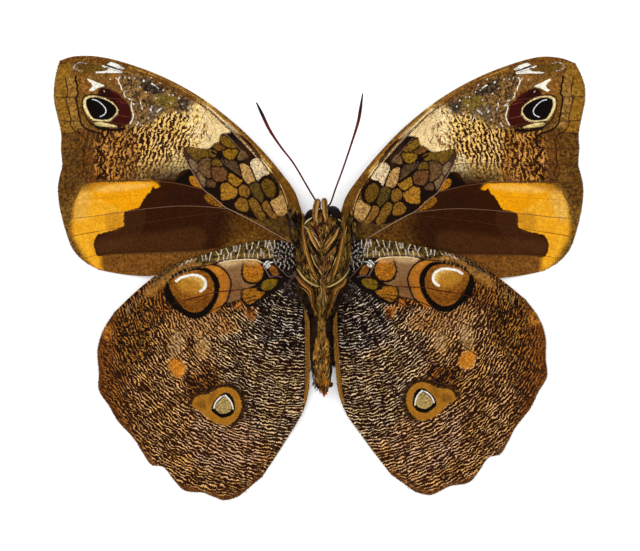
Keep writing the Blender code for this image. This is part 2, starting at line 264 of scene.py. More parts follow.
def wing_sheet(name, edges, cells, side, setting, overlapping):
    """Add a grid and move it onto the wing; returns the object and its plan on the left."""
    deselect_all()
    bpy.ops.mesh.primitive_grid_add(x_subdivisions=cells[0], y_subdivisions=cells[1], size=2)
    sheet = bpy.context.object
    sheet.name = name
    flat = coordinates(sheet.data)
    u, v = (flat[:, 0] + 1) / 2, (1 - flat[:, 1]) / 2
    plan = wing_plan(edges, u, v)
    placed = to_right(plan, setting) if side == "right" else plan
    distance = np.hypot(placed[:, 0] - HINGE_POINT[0], placed[:, 1] - HINGE_POINT[1])
    z = ROOT_RISE * (1 - smooth_step((distance - 2.0) / (FLAT_FROM - 2.0))) + SHEET_TOP
    z += CAMBER * np.sin(math.pi * v) * np.sin(math.pi * u)
    if overlapping:
        z += OVERLAP_RISE * smooth_step(1 - v / OVERLAP_SHARE)
    move_points(sheet.data, np.column_stack((placed, z)) * MM)
    if sum(face.normal.z for face in sheet.data.polygons) < 0:
        sheet.data.flip_normals()
    return sheet, plan


WINGS = {}
for side in ("left", "right"):
    WINGS[f"forewing_{side}"] = wing_sheet(f"forewing_{side}_scales", FORE_EDGES[side],
                                           FORE_GRID, side, FORE_SET, False)
    WINGS[f"hindwing_{side}"] = wing_sheet(f"hindwing_{side}_scales", HIND_EDGES[side],
                                           HIND_GRID, side, HIND_SET, True)
print({name: len(parts[0].data.vertices) for name, parts in WINGS.items()})

# %% [markdown]
# ## Painting by distance
# The marks of the wings are drawn as outlines and lines. They could be painted onto an image,
# but an image has pixels. Here every point of the sheet gets its distance to the nearest mark,
# positive inside, and the material draws the edge where that distance is zero. The edge stays
# sharp however near one looks, and the material can ruffle it, as the scales do.


# %% Distances to outlines and lines
def closed_curve(points, steps=4):
    """A smooth closed curve through points."""
    p = np.array(points, float)
    s = (np.arange(steps) / steps)[:, None, None]
    curve = batten(np.roll(p, 1, 0), p, np.roll(p, -1, 0), np.roll(p, -2, 0), s)
    curve = curve.transpose(1, 0, 2).reshape(-1, 2)
    return np.vstack((curve, curve[:1]))


def open_curve(points, steps=4):
    """A smooth open curve through points."""
    if len(points) < 3:
        return np.array(points, float)
    return along(points, np.linspace(0, 1, (len(points) - 1) * steps + 1))


def nearest_on(points, line):
    """Distance of each point from a line of short straight pieces, and the way there."""
    best = np.full(len(points), 1e9)
    way = np.zeros((len(points), 2))
    for a, b in zip(line[:-1], line[1:]):
        d = b - a
        t = np.clip((points - a) @ d / max(d @ d, 1e-9), 0, 1)
        offset = a + t[:, None] * d - points
        length = np.hypot(*offset.T)
        nearer = length < best
        best[nearer] = length[nearer]
        way[nearer] = offset[nearer]
    return best, way


def is_inside(points, line):
    """Whether each point lies inside a closed line."""
    x, y = points.T
    inside = np.zeros(len(points), bool)
    for (x0, y0), (x1, y1) in zip(line[:-1], line[1:]):
        crosses = (y0 > y) != (y1 > y)
        inside ^= crosses & (x < (x1 - x0) * (y - y0) / (y1 - y0 + 1e-12) + x0)
    return inside


REACH = 9.0                 # drawing units past which a mark no longer matters


def near_shape(points, shape, reach=REACH):
    """Which points lie in a shape's box or close to it."""
    return np.all((points > shape.min(0) - reach) & (points < shape.max(0) + reach), axis=1)


def patch_distance(points, outline, reach=REACH):
    """Distance of each point inside a closed outline, negative outside, in drawing units."""
    line = closed_curve(outline)
    near = near_shape(points, line, reach)
    result = np.full(len(points), -reach)
    if near.any():
        close = points[near]
        away = np.minimum(nearest_on(close, line)[0], reach)
        result[near] = np.where(is_inside(close, line), away, -away)
    return result


def patch_layer(points, marks, grow=0.0):
    """Distance in millimetres inside the nearest of several patches, and its colour.
    Patches that grow stop just short of the middle between them."""
    best = np.full(len(points), -REACH)
    second, outside = best.copy(), best.copy()
    colour = np.tile(linear(marks[0][0]), (len(points), 1))
    for rgb, outline in marks:
        d = patch_distance(points, outline)
        wins = (d > 0) | (d > outside)
        colour[wins] = linear(rgb)
        outside = np.maximum(outside, np.minimum(d, 0))
        second = np.maximum(second, np.minimum(best, d))
        best = np.maximum(best, d)
    if grow:
        best = np.minimum(best + grow, (best - second) / 2 - 0.8)
    return best / DRAWING_SCALE, colour


def line_layer(points, marks):
    """The nearest of several lines: its distance, the way to it with its half width, and
    its colour."""
    away = np.full(len(points), REACH)
    way = np.tile((REACH, 0.0, 0.0), (len(points), 1))
    colour = np.tile(linear(marks[0][0]), (len(points), 1))
    for rgb, width, shape in marks:
        line = open_curve(shape)
        near = np.flatnonzero(near_shape(points, line))
        d, offset = nearest_on(points[near], line)
        wins = d - width / 2 < away[near] - way[near, 2]
        found = near[wins]
        away[found] = d[wins]
        way[found, :2] = offset[wins]
        way[found, 2] = width / 2
        colour[found] = linear(rgb)
    return away / DRAWING_SCALE, way / DRAWING_SCALE, colour


print("marks reach", round(REACH / DRAWING_SCALE, 2), "mm")

# %% [markdown]
# ## The ground colours
# Between the marks a wing has a ground of two colours, a light and a dark one, which mix as
# speckles or as ripples. Soft regions say which two colours, how far the ripples show and how
# much of the light colour there is. Soft regions suit the ground, because on the real wing one
# ground runs into the next without an edge.

# %% Ground of the forewing
# Each region: softness, light, dark, ripple share, light share, broken share, outline.
# A region with a width after its softness is a band along its line.
FORE_GROUND = rows_in("""
10 #966c2a #503212 .2 .5 .5: 40,40 330,40 330,300 40,300
5 #a07426 #704a14 .1 .55 .5: 45,50 62,58 70,62 72,83 74,97 72,119 80,132 86,140 84,148 50,148
5 #7c541e #3e260e .1 .5 .5: 50,136 84,138 86,160 84,178 76,190 68,205 56,200
3 #b08642 #68421a .1 .55 .5: 68,76 76,76 77.5,90 76.5,101 80,117 84,128 76,130 70,117 67,102
3 #865620 #3e220c .5 .5 .7: 76,129 88,129 102,134 106,150 104,165 102,180 82,181 80,150
5 #765820 #4e3410 .1 .5 .5: 78,60 101,60 106,66 98,72 84,73 78,68
4 #926832 #5c3a18 .1 .5 .5: 90,74 118,75 118,90 104,90 98,80
4 #a8702e #683e14 .1 .5 .5: 82,78 90,80 92,86 98,90 98,94 84,95 80,88
6 #a67e4e #2a1a0d .1 .48 .8: 120,72 150,76 186,92 200,106 188,118 168,122 146,127 134,124 134,108
 126,96 121,84
4 #68543e #281c16 .1 .35 .6: 140,78 152,82 164,90 160,94 144,90
4 #705c42 #2c221a .1 .4 .6: 178,98 192,101 192,112 180,110
5 #887056 #422e1e .1 .5 .6: 148,104 166,108 166,122 150,124
5 #887230 #503c16 .1 .55 .6: 158,94 176,96 172,108 158,104
7 #ffd27c #381a09 1 .56 .9: 162,114 182,112 198,112 206,132 196,150 178,156 158,150 146,132
8 #ffce7c #301406 1 .5 .6: 112,130 150,127 180,134 196,158 204,186 180,183 150,181 108,181
7 #c68a40 #381a08 1 .5 .85: 98,130 132,128 138,150 134,181 98,181
6 #ffe6aa #603614 1 .7 .8: 176,150 184,158 194,174 186,176 176,180 158,182 166,172
3 10 #8e5e24 #543010 0 .5 .5: 60,60 78,57 105,60 134,67 165,79 185,90 205,105
2 3 #c49442 #8c5c22 0 .6 .5: 130,67 160,77 185,90 204,103 222,118
2 7 #e4b658 #aa7424 0 .6 .5: 205,104 215,112 232,128 250,145 262,158 272,170
2 3.5 #fade96 #d2a050 0 .7 .5: 206,106 218,116 234,130 250,147 262,160 270,170
3 4 #926424 #5c3a12 0 .5 .5: 215,107 232,123 252,143 270,162 284,180 293,196
4 12 #7e5418 #54340e 0 .55 .5: 276,172 288,188 296,203 303,226
9 #6e4814 #3e2208 0 .5 .5: 196,206 225,206 256,221.5 284,238 290,250 220,250 200,236
30 #381a06 #2a1103 0 .5 .5: 130,180 206,168 218,190 230,206 234,222 226,244 214,272 130,272
8 #7e541a #54320e 0 .5 .5: 228,243 248,234 270,238 290,244 270,246 230,250
8 #fce0a4 #805020 1 .72 .9: 190,106 202,104 206,126 204,146 190,150 188,128
4 #8a5820 #623a12 0 .5 .5: 90,257 150,253 205,250.5 290,240 302,262 150,278 84,276
7 #f8b428 #e89c1a 0 .6 .08: 88,186 120,184 156,183 156,210 128,228 102,248 102,275 92,266 82,252
 72,232 74,212 80,196
1.2 #f4a60a #ec9c04 0 .6 .08: 92,183.5 120,182.6 154,182 160,200 132,214 118,208 102,200 92,192
5 #f0ba54 #dc9c32 0 .6 .1: 74,206 80,192 90,190 88,210 78,222
5 #583e28 #140b07 .3 .4 .8: 288,208 296,212 302,228 300,240 290,238 284,222
4 #684c1c #38240c .1 .5 .5: 238,214 262,215 284,216 288,230 280,236 258,222
""")

# %% [markdown]
# The hindwing is rippled nearly all over: coarse and pale in the middle, fine towards its root,
# brown and broken at the margin.

# %% Ground of the hindwing
HIND_GROUND = rows_in("""
10 #b47634 #2a1206 1 .34 .4: 80,230 330,230 330,510 80,510
26 #fac07c #2c1206 1 .32 .28: 160,320 250,320 330,360 320,470 240,510 160,480 130,400
20 #ffdcac #220c05 1 .31 .26: 222,318 290,310 330,330 320,420 262,440 224,380
14 #fac696 #2c1207 1 .335 .25: 196,412 246,420 262,440 250,470 214,476 190,452
16 #ffe6ce #140805 1 .255 .28: 252,300 282,282 312,290 316,340 290,352 254,336
10 #9c5e24 #321809 1 .46 .6: 96,330 112,312 122,316 118,350 110,400 96,400
6 12 #864c18 #3e1d08 .7 .5 .6: 112,318 98,342 97,372 100,396 120,425 140,455 160,475 180,490
 210,498 226,502 246,494 262,478
4 10 #aa742e #603a14 .1 .6 .6: 150,292 162,282 178,272 196,266 208,264
3 #705822 #160c07 0 .45 .7: 188,260 210,250 236,242 276,238 276,259 262,259 240,258 210,264
3 3.2 #96762e #5c4418 0 .5 .7: 214,259.5 232,256.5 252,255.5 274,256
4 #826038 #24140a .3 .45 .9: 150,284 160,272 180,262 192,256 196,260 176,268 160,280
5 #70605c #1a100c .9 .3 1: 278,268 303,258 303,296 290,300 280,286
7 #b07032 #1e0e07 1 .34 .6: 186,376 216,372 219,388 200,394 188,395
10 #b07632 #1c0d06 1 .4 .6: 118,312 145,308 150,356 122,362
8 #ce965c #321809 1 .48 .4: 176,312 226,316 236,332 200,338 168,330
6 #c49c6c #5c3a1e 1 .58 .5: 171,332 179,331 183,342 179,356 171,357
6 #cca470 #623e20 1 .58 .5: 197,339 205,336 210,346 205,358 197,356
4 #d68a2c #925416 .6 .7 .7: 168,362 177,359 184,364 186,371 180,377 173,375
5 6 #784a1e #1e0f07 .8 .3 .5: 190,402 198,393 214,388 226,385 238,391 243.5,402 242,413 234,424
5 #be7c2c #542a0c .8 .6 .8: 102,326 112,326 112,338 102,338
5 #ba7632 #3c1e0b 1 .55 .8: 244,310 254,308 257,318 249,322
""")


def soft_share(points, region):
    """How far each point belongs to a soft region, 0 to 1."""
    softness, shape = region[0], np.array(region[-1], float)
    if len(region) == 8:
        d = region[1] / 2 - nearest_on(points, open_curve(shape))[0]
    else:
        d = patch_distance(points, shape, max(REACH, softness))
    return smooth_step(np.clip(d / softness, -0.5, 0.5) + 0.5)


def ground_paint(points, regions):
    """Blend the soft regions: two colours and three shares for every point."""
    light, dark = np.zeros((len(points), 3)), np.zeros((len(points), 3))
    shares = np.zeros((len(points), 3))
    for region in regions:
        a, b, *numbers = region[-6:-1]
        w = soft_share(points, region)[:, None]
        light += (linear(a) - light) * w
        dark += (linear(b) - dark) * w
        shares += (np.array(numbers) - shares) * w
    return light, dark, shares


print(len(FORE_GROUND), "forewing regions,", len(HIND_GROUND), "hindwing regions")

# %% [markdown]
# ## The marks of the forewing
# Four layers, each over the one before: dark fields and rings, then coloured patches, then
# thin dark lines, then pale lines and dots. One long list would do the same, but only marks of
# different layers get a sharp edge against each other.

# %% Forewing marks in drawing units
FORE_FIELDS = rows_in("""
cream: 199,110 202,105 210,108 220,117 236,131 232,134 225,133 221,135 219,141 213,145 208,149
 202,150 197,148 201,142 204,135 207,127 202,119
#311403: 153,186 155,188 160,187 166,184.5 172,182 176,180 178,176 180,172 183,170 190,169 196,176
 200,187 203,198 204,215 200,235 196,250.5 150,252.5 112,254.5 98,256 94,248 93.5,244 94.5,240
 96,237 98,234 103,233 113,230 120,227.5 124,225 123,220 124.5,217 124,214 124,212 130,210 138,208
 141,204 143,200 145,197 147,194 150,192
#3c1d09: 112,231 124,227 124,213 140,208 146,214 140,234 120,246 98,254 96,240
#120805: 175,181 183,174.5 190,169 197,178 202,187 192,185 183,184
#120805: 203,188 222,190 224,204 212,198
#180b06: 183,153 185,147 190,146.5 195,147.5 200,149 207,148.5 210,147 214,144 219,141.5 220,138
 221,134.5 225,132.8 230,132.5 234,132 246,145 258,160 268,172 278,184 279.5,192 277,198 271,201
 276,216 266,219 253,219 243,214.5 234,211 225,206.5 214,197 203,187 196,176 190,167 186,160
#3e2a1e: 183,150 188,150 196,160 202,172 206,182 202,186 195,175 187,162
#120805: 237,133 243,136.1 248.7,140.2 252.8,145.9 257.6,151.5 261,156.4 260.5,159.7 257,157.5
 251,149.5 243,140.5
maroon: 99,90 103,87.6 110.3,89.4 115.5,91 119.8,94 122.8,98.5 127.6,102.8 129.6,107 130.8,112.3
 131.5,117 129.5,123 125.9,125 116,127.5 104,128 96,124 92,118 96,100
#eed898: 83.2,101.1 84.7,97.6 88.6,95.9 97.3,95.7 103.3,97.2 108.5,99.8 112.9,102.8 116.3,106.3
 117.9,110.2 116.8,114.1 113.3,118 109.4,120.6 103.3,121.2 97.3,120.8 92.1,119.7 88.2,115.8
 85.6,111.5 83.6,106.3
""")
FORE_CELLS = rows_in("""
#8a641e: 187,148.3 194.2,148.6 204.8,149.5 212.1,150.9 216.2,152.6 215.6,155.6 212.9,156.6
 206.4,156.5 201.1,156.8 198.9,160 196.3,159.8 193.4,156.4 190.2,153.2
#966c1a: 221.9,137 225.1,137.2 228.8,139.8 232,143 235.4,146.6 234,148.3 229.6,147.6 225.4,145.8
 221.7,143.6 221.2,140.4
#8a5622: 213.8,145.4 217,143.2 219.6,143.4 222,145.6 226,147.6 223.6,149.4 219,149.5 215.2,148
#ac7a1c: 223.6,151.4 226.6,149.9 230.8,149.4 235.6,149.3 237,151.2 235.2,155 232.6,158.2
 229.2,159.5 225.8,156.6 224,154
#845e36: 201,160.6 205.6,158.4 209.4,158 209.9,162 209.5,167 210.2,173.4 210.6,176.8 207,176.7
 203,173.6 199.6,169.6 199.3,164.4
#86601e: 212.7,161.2 216.2,159.5 220.4,160.4 222.5,163 220.2,165.6 216,166 212.7,164.8
#82522a: 212,168.5 214.6,167.2 220.2,167.6 225.2,170.1 226.9,174.4 226,178.6 221.9,180.2 216,180.2
 213.1,176 212.3,172
#6a4c2e: 225,160.3 230,161.1 235,162 237.6,166.2 240,171.8 240.3,176.9 238,176 233.2,172.9
 228.2,169.6 225.2,164.8
#bc8424: 229,175 231.6,173.3 236.6,175.8 241,179.2 241.6,180.8 238.6,184.2 234.2,186.6 230.6,183.4
 229,179.2
#ca8a28: 221.8,185.6 225,184 230.2,184 235.1,188 236.7,191.5 234.3,196.5 230,198.5 225.9,198.9
 222.1,198.9 221.8,193
#a06e22: 239.6,189.8 242,186 246.5,186.4 248.9,189.8 248.5,194.8 245.5,197.3 242,195.7 240,193
#684e1c: 251,184.8 255.2,183.5 258.7,184.8 260.3,190.6 262.7,197.2 260.9,201.3 256.6,198
 252.6,192.4 250.9,188.2
#7c5614: 262.4,184 265,180.2 268.3,179.9 272.5,183.2 274.5,188 274.5,193 271.6,196.9 268.1,195.7
 264.8,191.6 262.7,187.4
#eacea0: 251.4,162.8 254.2,159.7 257.6,159 260.3,160.6 264.4,165.2 268.6,171.8 266.7,174
 262.5,175.3 259.4,177.8 257.7,180.1 255.2,179.3 253,173.5 252.2,168.6
#c49658: 240.9,165.4 243.4,164.4 247.6,166.8 251.7,171 254.2,175 255.7,180.2 251.1,182.2
 247.7,182.6 244.5,178.2 242.4,174.3 241.2,169.4
#926c3e: 240.8,152.2 243.4,151.3 246.1,154.8 247.3,157.3 243.4,158.2 240.5,159.3 238.6,158.9
 239.3,155.6
#a87222: 240.4,198.8 243.4,198.2 246.1,201 247.8,206 246.9,210.3 244.2,210.6 240.1,209.6
 236.7,206.8 236,203.6
#9c6c24: 249.4,201 252.8,198.6 256.2,201 258.8,205.2 261.3,210 264.4,216 262.5,219.2 258.4,217.4
 254.2,211.8 250.9,206.8
#a6722e: 263.1,205.2 266.6,201.8 270,206 273.3,211.6 275.7,216.8 272.3,217.5 267.2,212.6
#c89a58: 270.8,203.5 275.5,200.2 281.2,196.2 284.6,199.5 286.4,206 286.3,212 282,215.2 277,213.5
 273,208.5
#a07e5c: 189.8,160.3 194.2,162 197,166.2 196,170.8 192.4,167
#a48056: 198.3,173.2 201.7,175.8 206,180.8 205,185.2 201.3,184.1 199.4,179.2
#74502e: 204.6,183.2 210.5,180.6 214.8,183.3 214,186 208.9,186
#d6861e: 190,178.4 192.6,176.6 196.8,180 201.6,186.6 197.4,185.9 193.2,184.2 191.2,181.6
#dc8e1c: 205,196.5 208,194 213.8,197.8 222,205.3 218.4,205.4 210.4,202.9 206.2,199.2
""")
FORE_PATCHES = rows_in("""
#ecd48c: 93.4,122.8 97.3,122 103.3,122.3 108.5,123.6 113.7,124.9 117.2,126.2 115.5,127.2
 108.5,126.8 101.6,126.4 96.4,125.4
white: 105.9,64.2 108.5,63.2 110.7,61.7 113.7,62.6 118.9,64.5 124.4,67.7 122,69 117.2,68 112,66
 108.5,65.2
white: 101,64.7 105.1,66 109.4,67.3 115.5,69 120.7,70.3 122.2,72.5 116.3,73 108.5,72.7 97.3,73
 93.5,72 99.9,71.2 105.9,70.7 108.1,69.9 105.1,68.6 102.3,66.4
#faf4e0: 86.9,78.5 90.3,79.2 94.2,80.9 98.1,82.8 104.6,85.5 100.7,87 97.3,88 94.7,89.6 92.1,91
 88.6,90.4 90.8,88.1 92.5,85.9 90.8,82.9 88.4,80.7
black: 86,101.1 86.9,98.9 90.3,97.4 96.4,97.2 101.6,98.3 106.8,100.2 111.1,102.8 114.8,105.9
 116.5,109.8 115.6,113.3 112,117.2 108.5,119.2 103.3,119.8 98.1,119.5 93.6,118.6 90.3,115
 87.7,109.8 86,105.4
""")
FORE_WASHES = rows_in("""
5 #180a06 .75: 99,88 106,88 112,94 120,104 112,100 104,95 98,93
5 #1c0c07 .7: 88,119 108,126.5 130,124 136,128 126,133 100,130 88,124
4 #ba742c .35: 106,76 118,75 118,79 106,79
5 #face6e .5: 96,186 130,184 150,184 140,188 100,192
6 #9c5c16 .5: 106,214 122,212 122,226 108,230
5 #784c14 .55: 84,183 112,183 100,188 82,192
7 #281006 .6: 190,190 206,192 220,204 200,206 170,204 168,192
5 #fae8be .6: 228,124 238,132 230,130 222,124
6 #462812 .5: 236,140 250,152 248,164 238,150
4 #3c2410 .6: 280,214 288,214 290,226 280,224
9 #5c3614 .42: 98,242 150,234 200,228 200,250 150,252 104,254
""")
FORE_LINES = rows_in("""
#160a06 2.6: 97,127.4 104,129 114,129.8 124,128.6
ink 1.9: 75.6,76 75.6,81.1 77.3,85.5 76.9,88.9 78.2,93.3 76,97.6 76.5,102.8 77.8,108 78.6,113.2
 79.9,118.4 81.2,123.6 85.1,127.9 90.3,130.5 96.4,132.3 101.6,134.4 104,138 102,145 97,149 102,154
 105,158 104,162 100,165 103,170 105,172 99,176 97,179
#321c0a 1.1: 65,78 66,83 67,88 67.5,93 66,97 66.5,102 67.5,106 69,112 71,119 70,123 71.5,127
 75,131 83,136 85,141 83,150 84,155 83,161 84,167 87,173 84,177
#6e4214 1.2: 78,189 76.5,196 73,202 70,207
ink 1.1: 104.2,95.8 97.3,94.5 88.6,94.6 83.4,96.7 82.1,101 81.9,104.5 83.2,110.6 86,116.7 88.6,121
 92.9,124.5 99,127.3 108.5,128.9 118,128.9
black 1.3: 107,65.4 115.5,68.2 121,70
#6e5c30 1.6: 103,68 107,69
#6e3428 .7: 111.1,90.7 116.3,92.4 121,96
#6e3428 .6: 115.5,101.1 120.7,101.9 127,103.7
#743a2c .7: 117.6,114.9 124.1,116.2 130,117.1
ink 1.2: 260.1,159.7 264.1,164.6 269.8,172.7 274.7,178.4 278.8,184.9 282.8,193 286.1,201.1
 287.7,209.3 288,218
ink .9: 200,103.5 210,111.5 220,121 230,130.5 236,136
#502e14 .7: 118,62.5 150,73 184,90 206,105.5
#5a3616 .7: 120,66 150,76 180,91.5 202,106
#603c1a .6: 126,69.5 150,78.5 178,93
#965c22 .7: 212,107 234,127 258,150 276,170
#82501e .6: 208,108 222,121 240,138
ink .7: 206,132 208,137 210,139 211.5,135
#b08046 .5: 204,109 214,119 224,130
#b08046 .5: 206,114 212,122 216,132
#966434 .5: 206,122 208,128 206,131
#966434 .5: 200,143 206,140 211,141
black 2.2: 212,152 218,155.5 222.5,160 226,166 230,170.5 235,174 241,178.5
#281812 1.4: 216,158 222,161 224,167
#b06c14 .7: 76,218 98,215.5 122,212
#ce8410 .6: 85,199 110,197 140,195
#aa6816 .7: 72,236 84,233.5 98,231
#542e0e 1: 60,182.5 80,182 100,181.3 120,180.6 150,181.2
ink .8: 186,161 191,169.5 196.5,178 203,188.5 212,196.8 224,207.6 240,214.6 262,226 284,237.6
#3a1e0c .7: 250,206 258,217 270,228
#3a1e0c .7: 262,210 270,220 282,232
#1e100a 1: 286,214 291,224 296,234
#381e0a .85: 56,97 75,97
#381e0a .85: 60,121 80,121
#381e0a .85: 60,134 82,132.5
#381e0a .85: 62,149 80,148.5 100,148
#381e0a .85: 62,165.5 80,164.5 97,163
""")
DOTS = places_in("""
116,78 125,77.5 129,77.5 134,78 138,122.5 136.5,125 142.5,125.5 151,77.5 158,88 163,90 160,83
169,94.5 173,95 179,98 151.9,106.3 157,112 159.5,109.5 165,115 146,92 171,103 176,112 185,116
129,99 131,99.6 110,79 140,87 148,118 134.1,104.1 104,91 182,104 188,108 156,98
""")
FORE_PALE = rows_in("""
#ecf0f4 1.2: 92.1,99.3 96.4,100.2 100.3,102.8 103.8,106.3 105.8,109.7 105.1,113.2 102.5,115.4
 99.9,116.4
white 1.3: 119.8,76.8 118.2,79.4 118.9,82.9 120.7,85.9 121.5,89.4
white 1.1: 124.6,91.5 123.7,93.3 124.6,95.9 125.9,97.6
white 1.4: 131.5,102.8 130.9,106.3 131.9,109.7 133.2,114.1 132.6,118.4 131.1,121.4 129.8,124
white 2.4: 143.3,80.4 144,81
white 1.8: 151.6,83.4 155,85.4
white 1.2: 140.6,101.6 140.6,104
white 1.4: 141.7,106.6 142.2,108.8
white 2.2: 150.4,109.4 151,110.2
white 1.2: 158,110.6 161.4,108
#e8d6bc 1.2: 164.9,115 166.6,118.4
white 1.2: 137,124.4 138.4,121.6
pale_vein .8: 231,129.8 236.5,136.1 243,142.6 249.5,149.9 256,156.4 260,161
#8c6c62 .6: 224,133 230,138 238,147 246,156
#78605c .7: 222,158.5 224,163 228,167
#eece82 .9: 261.5,158.5 266,164 272,172.5
#d6aa6e .7: 280,184 284.5,194 287.5,204
#786464 .6: 287.5,212 292,222 297,236
#786464 .6: 290.5,214 295,226 299,236
""") + [
    (PAINTS["white"], 1.3, [(x - 0.3, y - 0.4), (x + 0.3, y + 0.4)]) for x, y in DOTS
] + [
    ((196, 182, 176), 1.1, [(x - 0.4, y + 0.2), (x + 0.4, y - 0.2)])
    for x, y in ((73.5, 67), (75, 65), (77, 63.2), (79.4, 62.4), (82.4, 62.4), (85.6, 63.2),
                 (75.6, 69), (78.8, 70.4), (81.6, 70.6))
]
FORE_PALE = [(rgb, 0.7 * width, line) for rgb, width, line in FORE_PALE]
FORE_CELLS = [(rgb if sum(rgb) > 400 else tuple(0.86 * c for c in rgb), outline)
              for rgb, outline in FORE_CELLS]
print(len(FORE_CELLS), "cells,", len(FORE_LINES) + len(FORE_PALE), "lines on a forewing")

# %% [markdown]
# ## The marks of the hindwing
# The big eyespot, its brown neighbours, the small eyespot and the dashed front edge. The
# dashes repeat, so they come from loops.

# %% Hindwing marks in drawing units
HIND_FIELDS = rows_in("""
#86603c: 216.2,264.4 221,262.3 229,260.3 241.8,259.2 252,259 262,261 262,282 252,286 245.8,288
 241,290 240,299 234,301 228,303 224,300 229,285 226,272
#aa661c: 204,266.2 213,264.8 219.1,266.7 225.3,271.4 228.7,277.4 229.7,283.4 228.7,289.5
 227.2,295.4 224.1,302.4 219.6,308.3 212,313 208,300 208,280
black: 165.3,284.4 168.8,280.5 172.7,276 179.6,271.6 187.5,269.1 197.4,267.6 205.3,267.6
 211.2,270.1 216.2,275 219.1,281.5 219.6,289.4 217.7,298.2 213.2,307.1 207.3,314 200.4,318
 191.5,318.5 183.6,315 175.7,309.6 169.8,305.2 166.3,299.2 164.8,292.3
#120905: 244.8,262.5 243,264 241.1,269.6 241.1,275.5 243.6,280.8 248.6,283.8 253.7,284.3
 259.6,282.8 264.5,279.9 268.8,276.7 267.7,272.6 264.2,268.4 260.8,262 252,262
#140c08: 260,260 274,259 281,270 290,276 284,284 277,291 266,298 258,303 250,307 243.5,303
 240.5,297 241.4,290 252,286.5 262,279.5 270,276 263,266
#140c08: 275,241 281,240 287,241 293,244 299,250 302,257 301.5,265 294,269 285,270 279,267.5
 275,262 273,252
#a26a1c: 192,403 195,397.5 200,395 207,394.5 213,391.5 218,388.5 224,387 230,387.5 235,390.5
 239,395.5 241,402 241,409 239,415 235,420.5 231,424 226,425.5 221,424.5 215,423 210,420 204,415
 198,410 193,407.5
#9a6824: 302.8,296 305.8,296 309,306 311,318 311,350 310.5,380 306,402 304,402 305.2,380 305.2,350
 305,320
""")
HIND_CELLS = rows_in("""
#925616: 169.8,281.5 174.7,277.5 180.6,274.1 188.5,271.6 197.4,270.1 204.3,271.6 209.3,275
 212.7,280.5 214.2,287.4 213.2,296.3 209.3,303.2 203.3,309.1 197.4,312.1 190.5,311.6 184.6,309.1
 180.6,304.2 175.7,298.2 171.8,292.3 169.6,286.4
#b8701a: 245.8,261.7 251.7,260.2 256.6,260.9 260.6,264.7 263.1,269.6 262.6,275.5 259.6,280.5
 254.7,282 248.7,281.5 244.8,278.5 242.8,272.6 243.3,267.6
#945a20: 269,267.6 273.6,265.5 277.4,270.4 278.6,274.8 272.4,274.8
#826214: 261.6,287.4 262.6,282.4 267.5,279.5 273.4,279 277.4,280.5 275.6,285.4 270.5,289.4
 264.5,290.3
#a46818: 242.8,294.3 243.8,290.3 248.7,288.4 255.7,288.4 257.8,291.1 264.7,292.3 260.6,297.3
 254.7,301.4 249.7,304.2 245.8,302.2 242.8,298.2
#ba6a22: 235.4,306.1 236.9,303.2 240.8,302.2 242,306.1 238.9,309.6 235.9,309.1
#a05c22: 246.8,314.6 249.7,312.8 251.6,315 249.7,317.4
#100905: 211.4,409 212.6,404 216,399 220,395 225,392.6 229.4,393.8 233,398 234.6,404 235,409
 232.4,414.4 228,416.6 222,418 216.8,415.4 212.6,412
""")
HIND_SPOTS = rows_in("""
#b89c5c: 215,408 216.6,404 220.4,399.6 225,396.8 229,400.4 231.4,405 231.4,409 229,412 222,413.8
 217,411
""")
HIND_WASHES = rows_in("""
8 #be8428 .85: 177,282 186,276 198,276 205,283 202,290 196,294 186,292 179,288
5 #f0c86a .7: 184,278 194,275.5 204,279 206,286 202,289 199,282 192,279
6 #542a0a .8: 176,296 186,303 198,306 208,298 204,306 186,307 177,301
4 #a8621e .7: 172,280 184,273 196,271 192,273.5 178,278
6 #deb884 .75: 218,263 230,260.5 243,260 240,264 226,267
7 #704620 .7: 230,282 242,284 240,296 228,300
5 #d6a86a .7: 245,261 256,260.5 258,264 247,264
5 #de9232 .6: 210,266 218,268 222,274 216,272
4 #603a0e .7: 195,404 204,400 206,408 200,408
3 #704210 .6: 210,394 216,391 214,400 208,404
""")
HIND_LINES = rows_in("""
ink 1.7: 213.2,264.6 219.6,266.4 225.6,271.2 229.6,277.4 231.2,284 229.6,293 226.6,301.6 222,307
#3c1208 .9: 184,300 190,299 197,297.4 205,295 212,293 220,291.8 232,290.6 243,289
ink 1.3: 172,275.6 186,268.8 199.4,266.4 209.3,265.2 213.2,264 219.1,262 227,260 236.9,258.6
 246.8,258 256.6,258.8 262.6,259.7 269.5,258.8 273,261
ink .7: 302.4,298 303.6,320 304.3,350 304.5,380 302.5,402
#221410 .9: 262.6,264.7 266,271 269.5,276.5
#38220c 1: 191.5,403 194.4,397 200,394 207,393.4 213,390.4 218,387.4 224,386 230,386.5 236,389.8
 240.2,395.4 242.2,402 242.2,409 240,415.4
#6e4216 .7: 306.4,320 307,350 306.6,380 305,396
""")
DARK_VEINS = [line for (line,) in rows_in("""
256,296 235,301 215,309 190,325 170,335 150,350 118,374 101,388
262,299 243,304 207,334 195,343 172,360 150,380 132,400 118,418
268,306 240,336 215,366 204,382
192,412 176,430 160,455 152,466
218,426 206,450 196,470 188,488
272,311 268,335 258,372 250,420 246,465 246,493
301,278 298,310 294,350 286,400 276,440 264,474
""")]
HIND_LINES += [((34, 17, 8), 0.9, line) for line in DARK_VEINS]
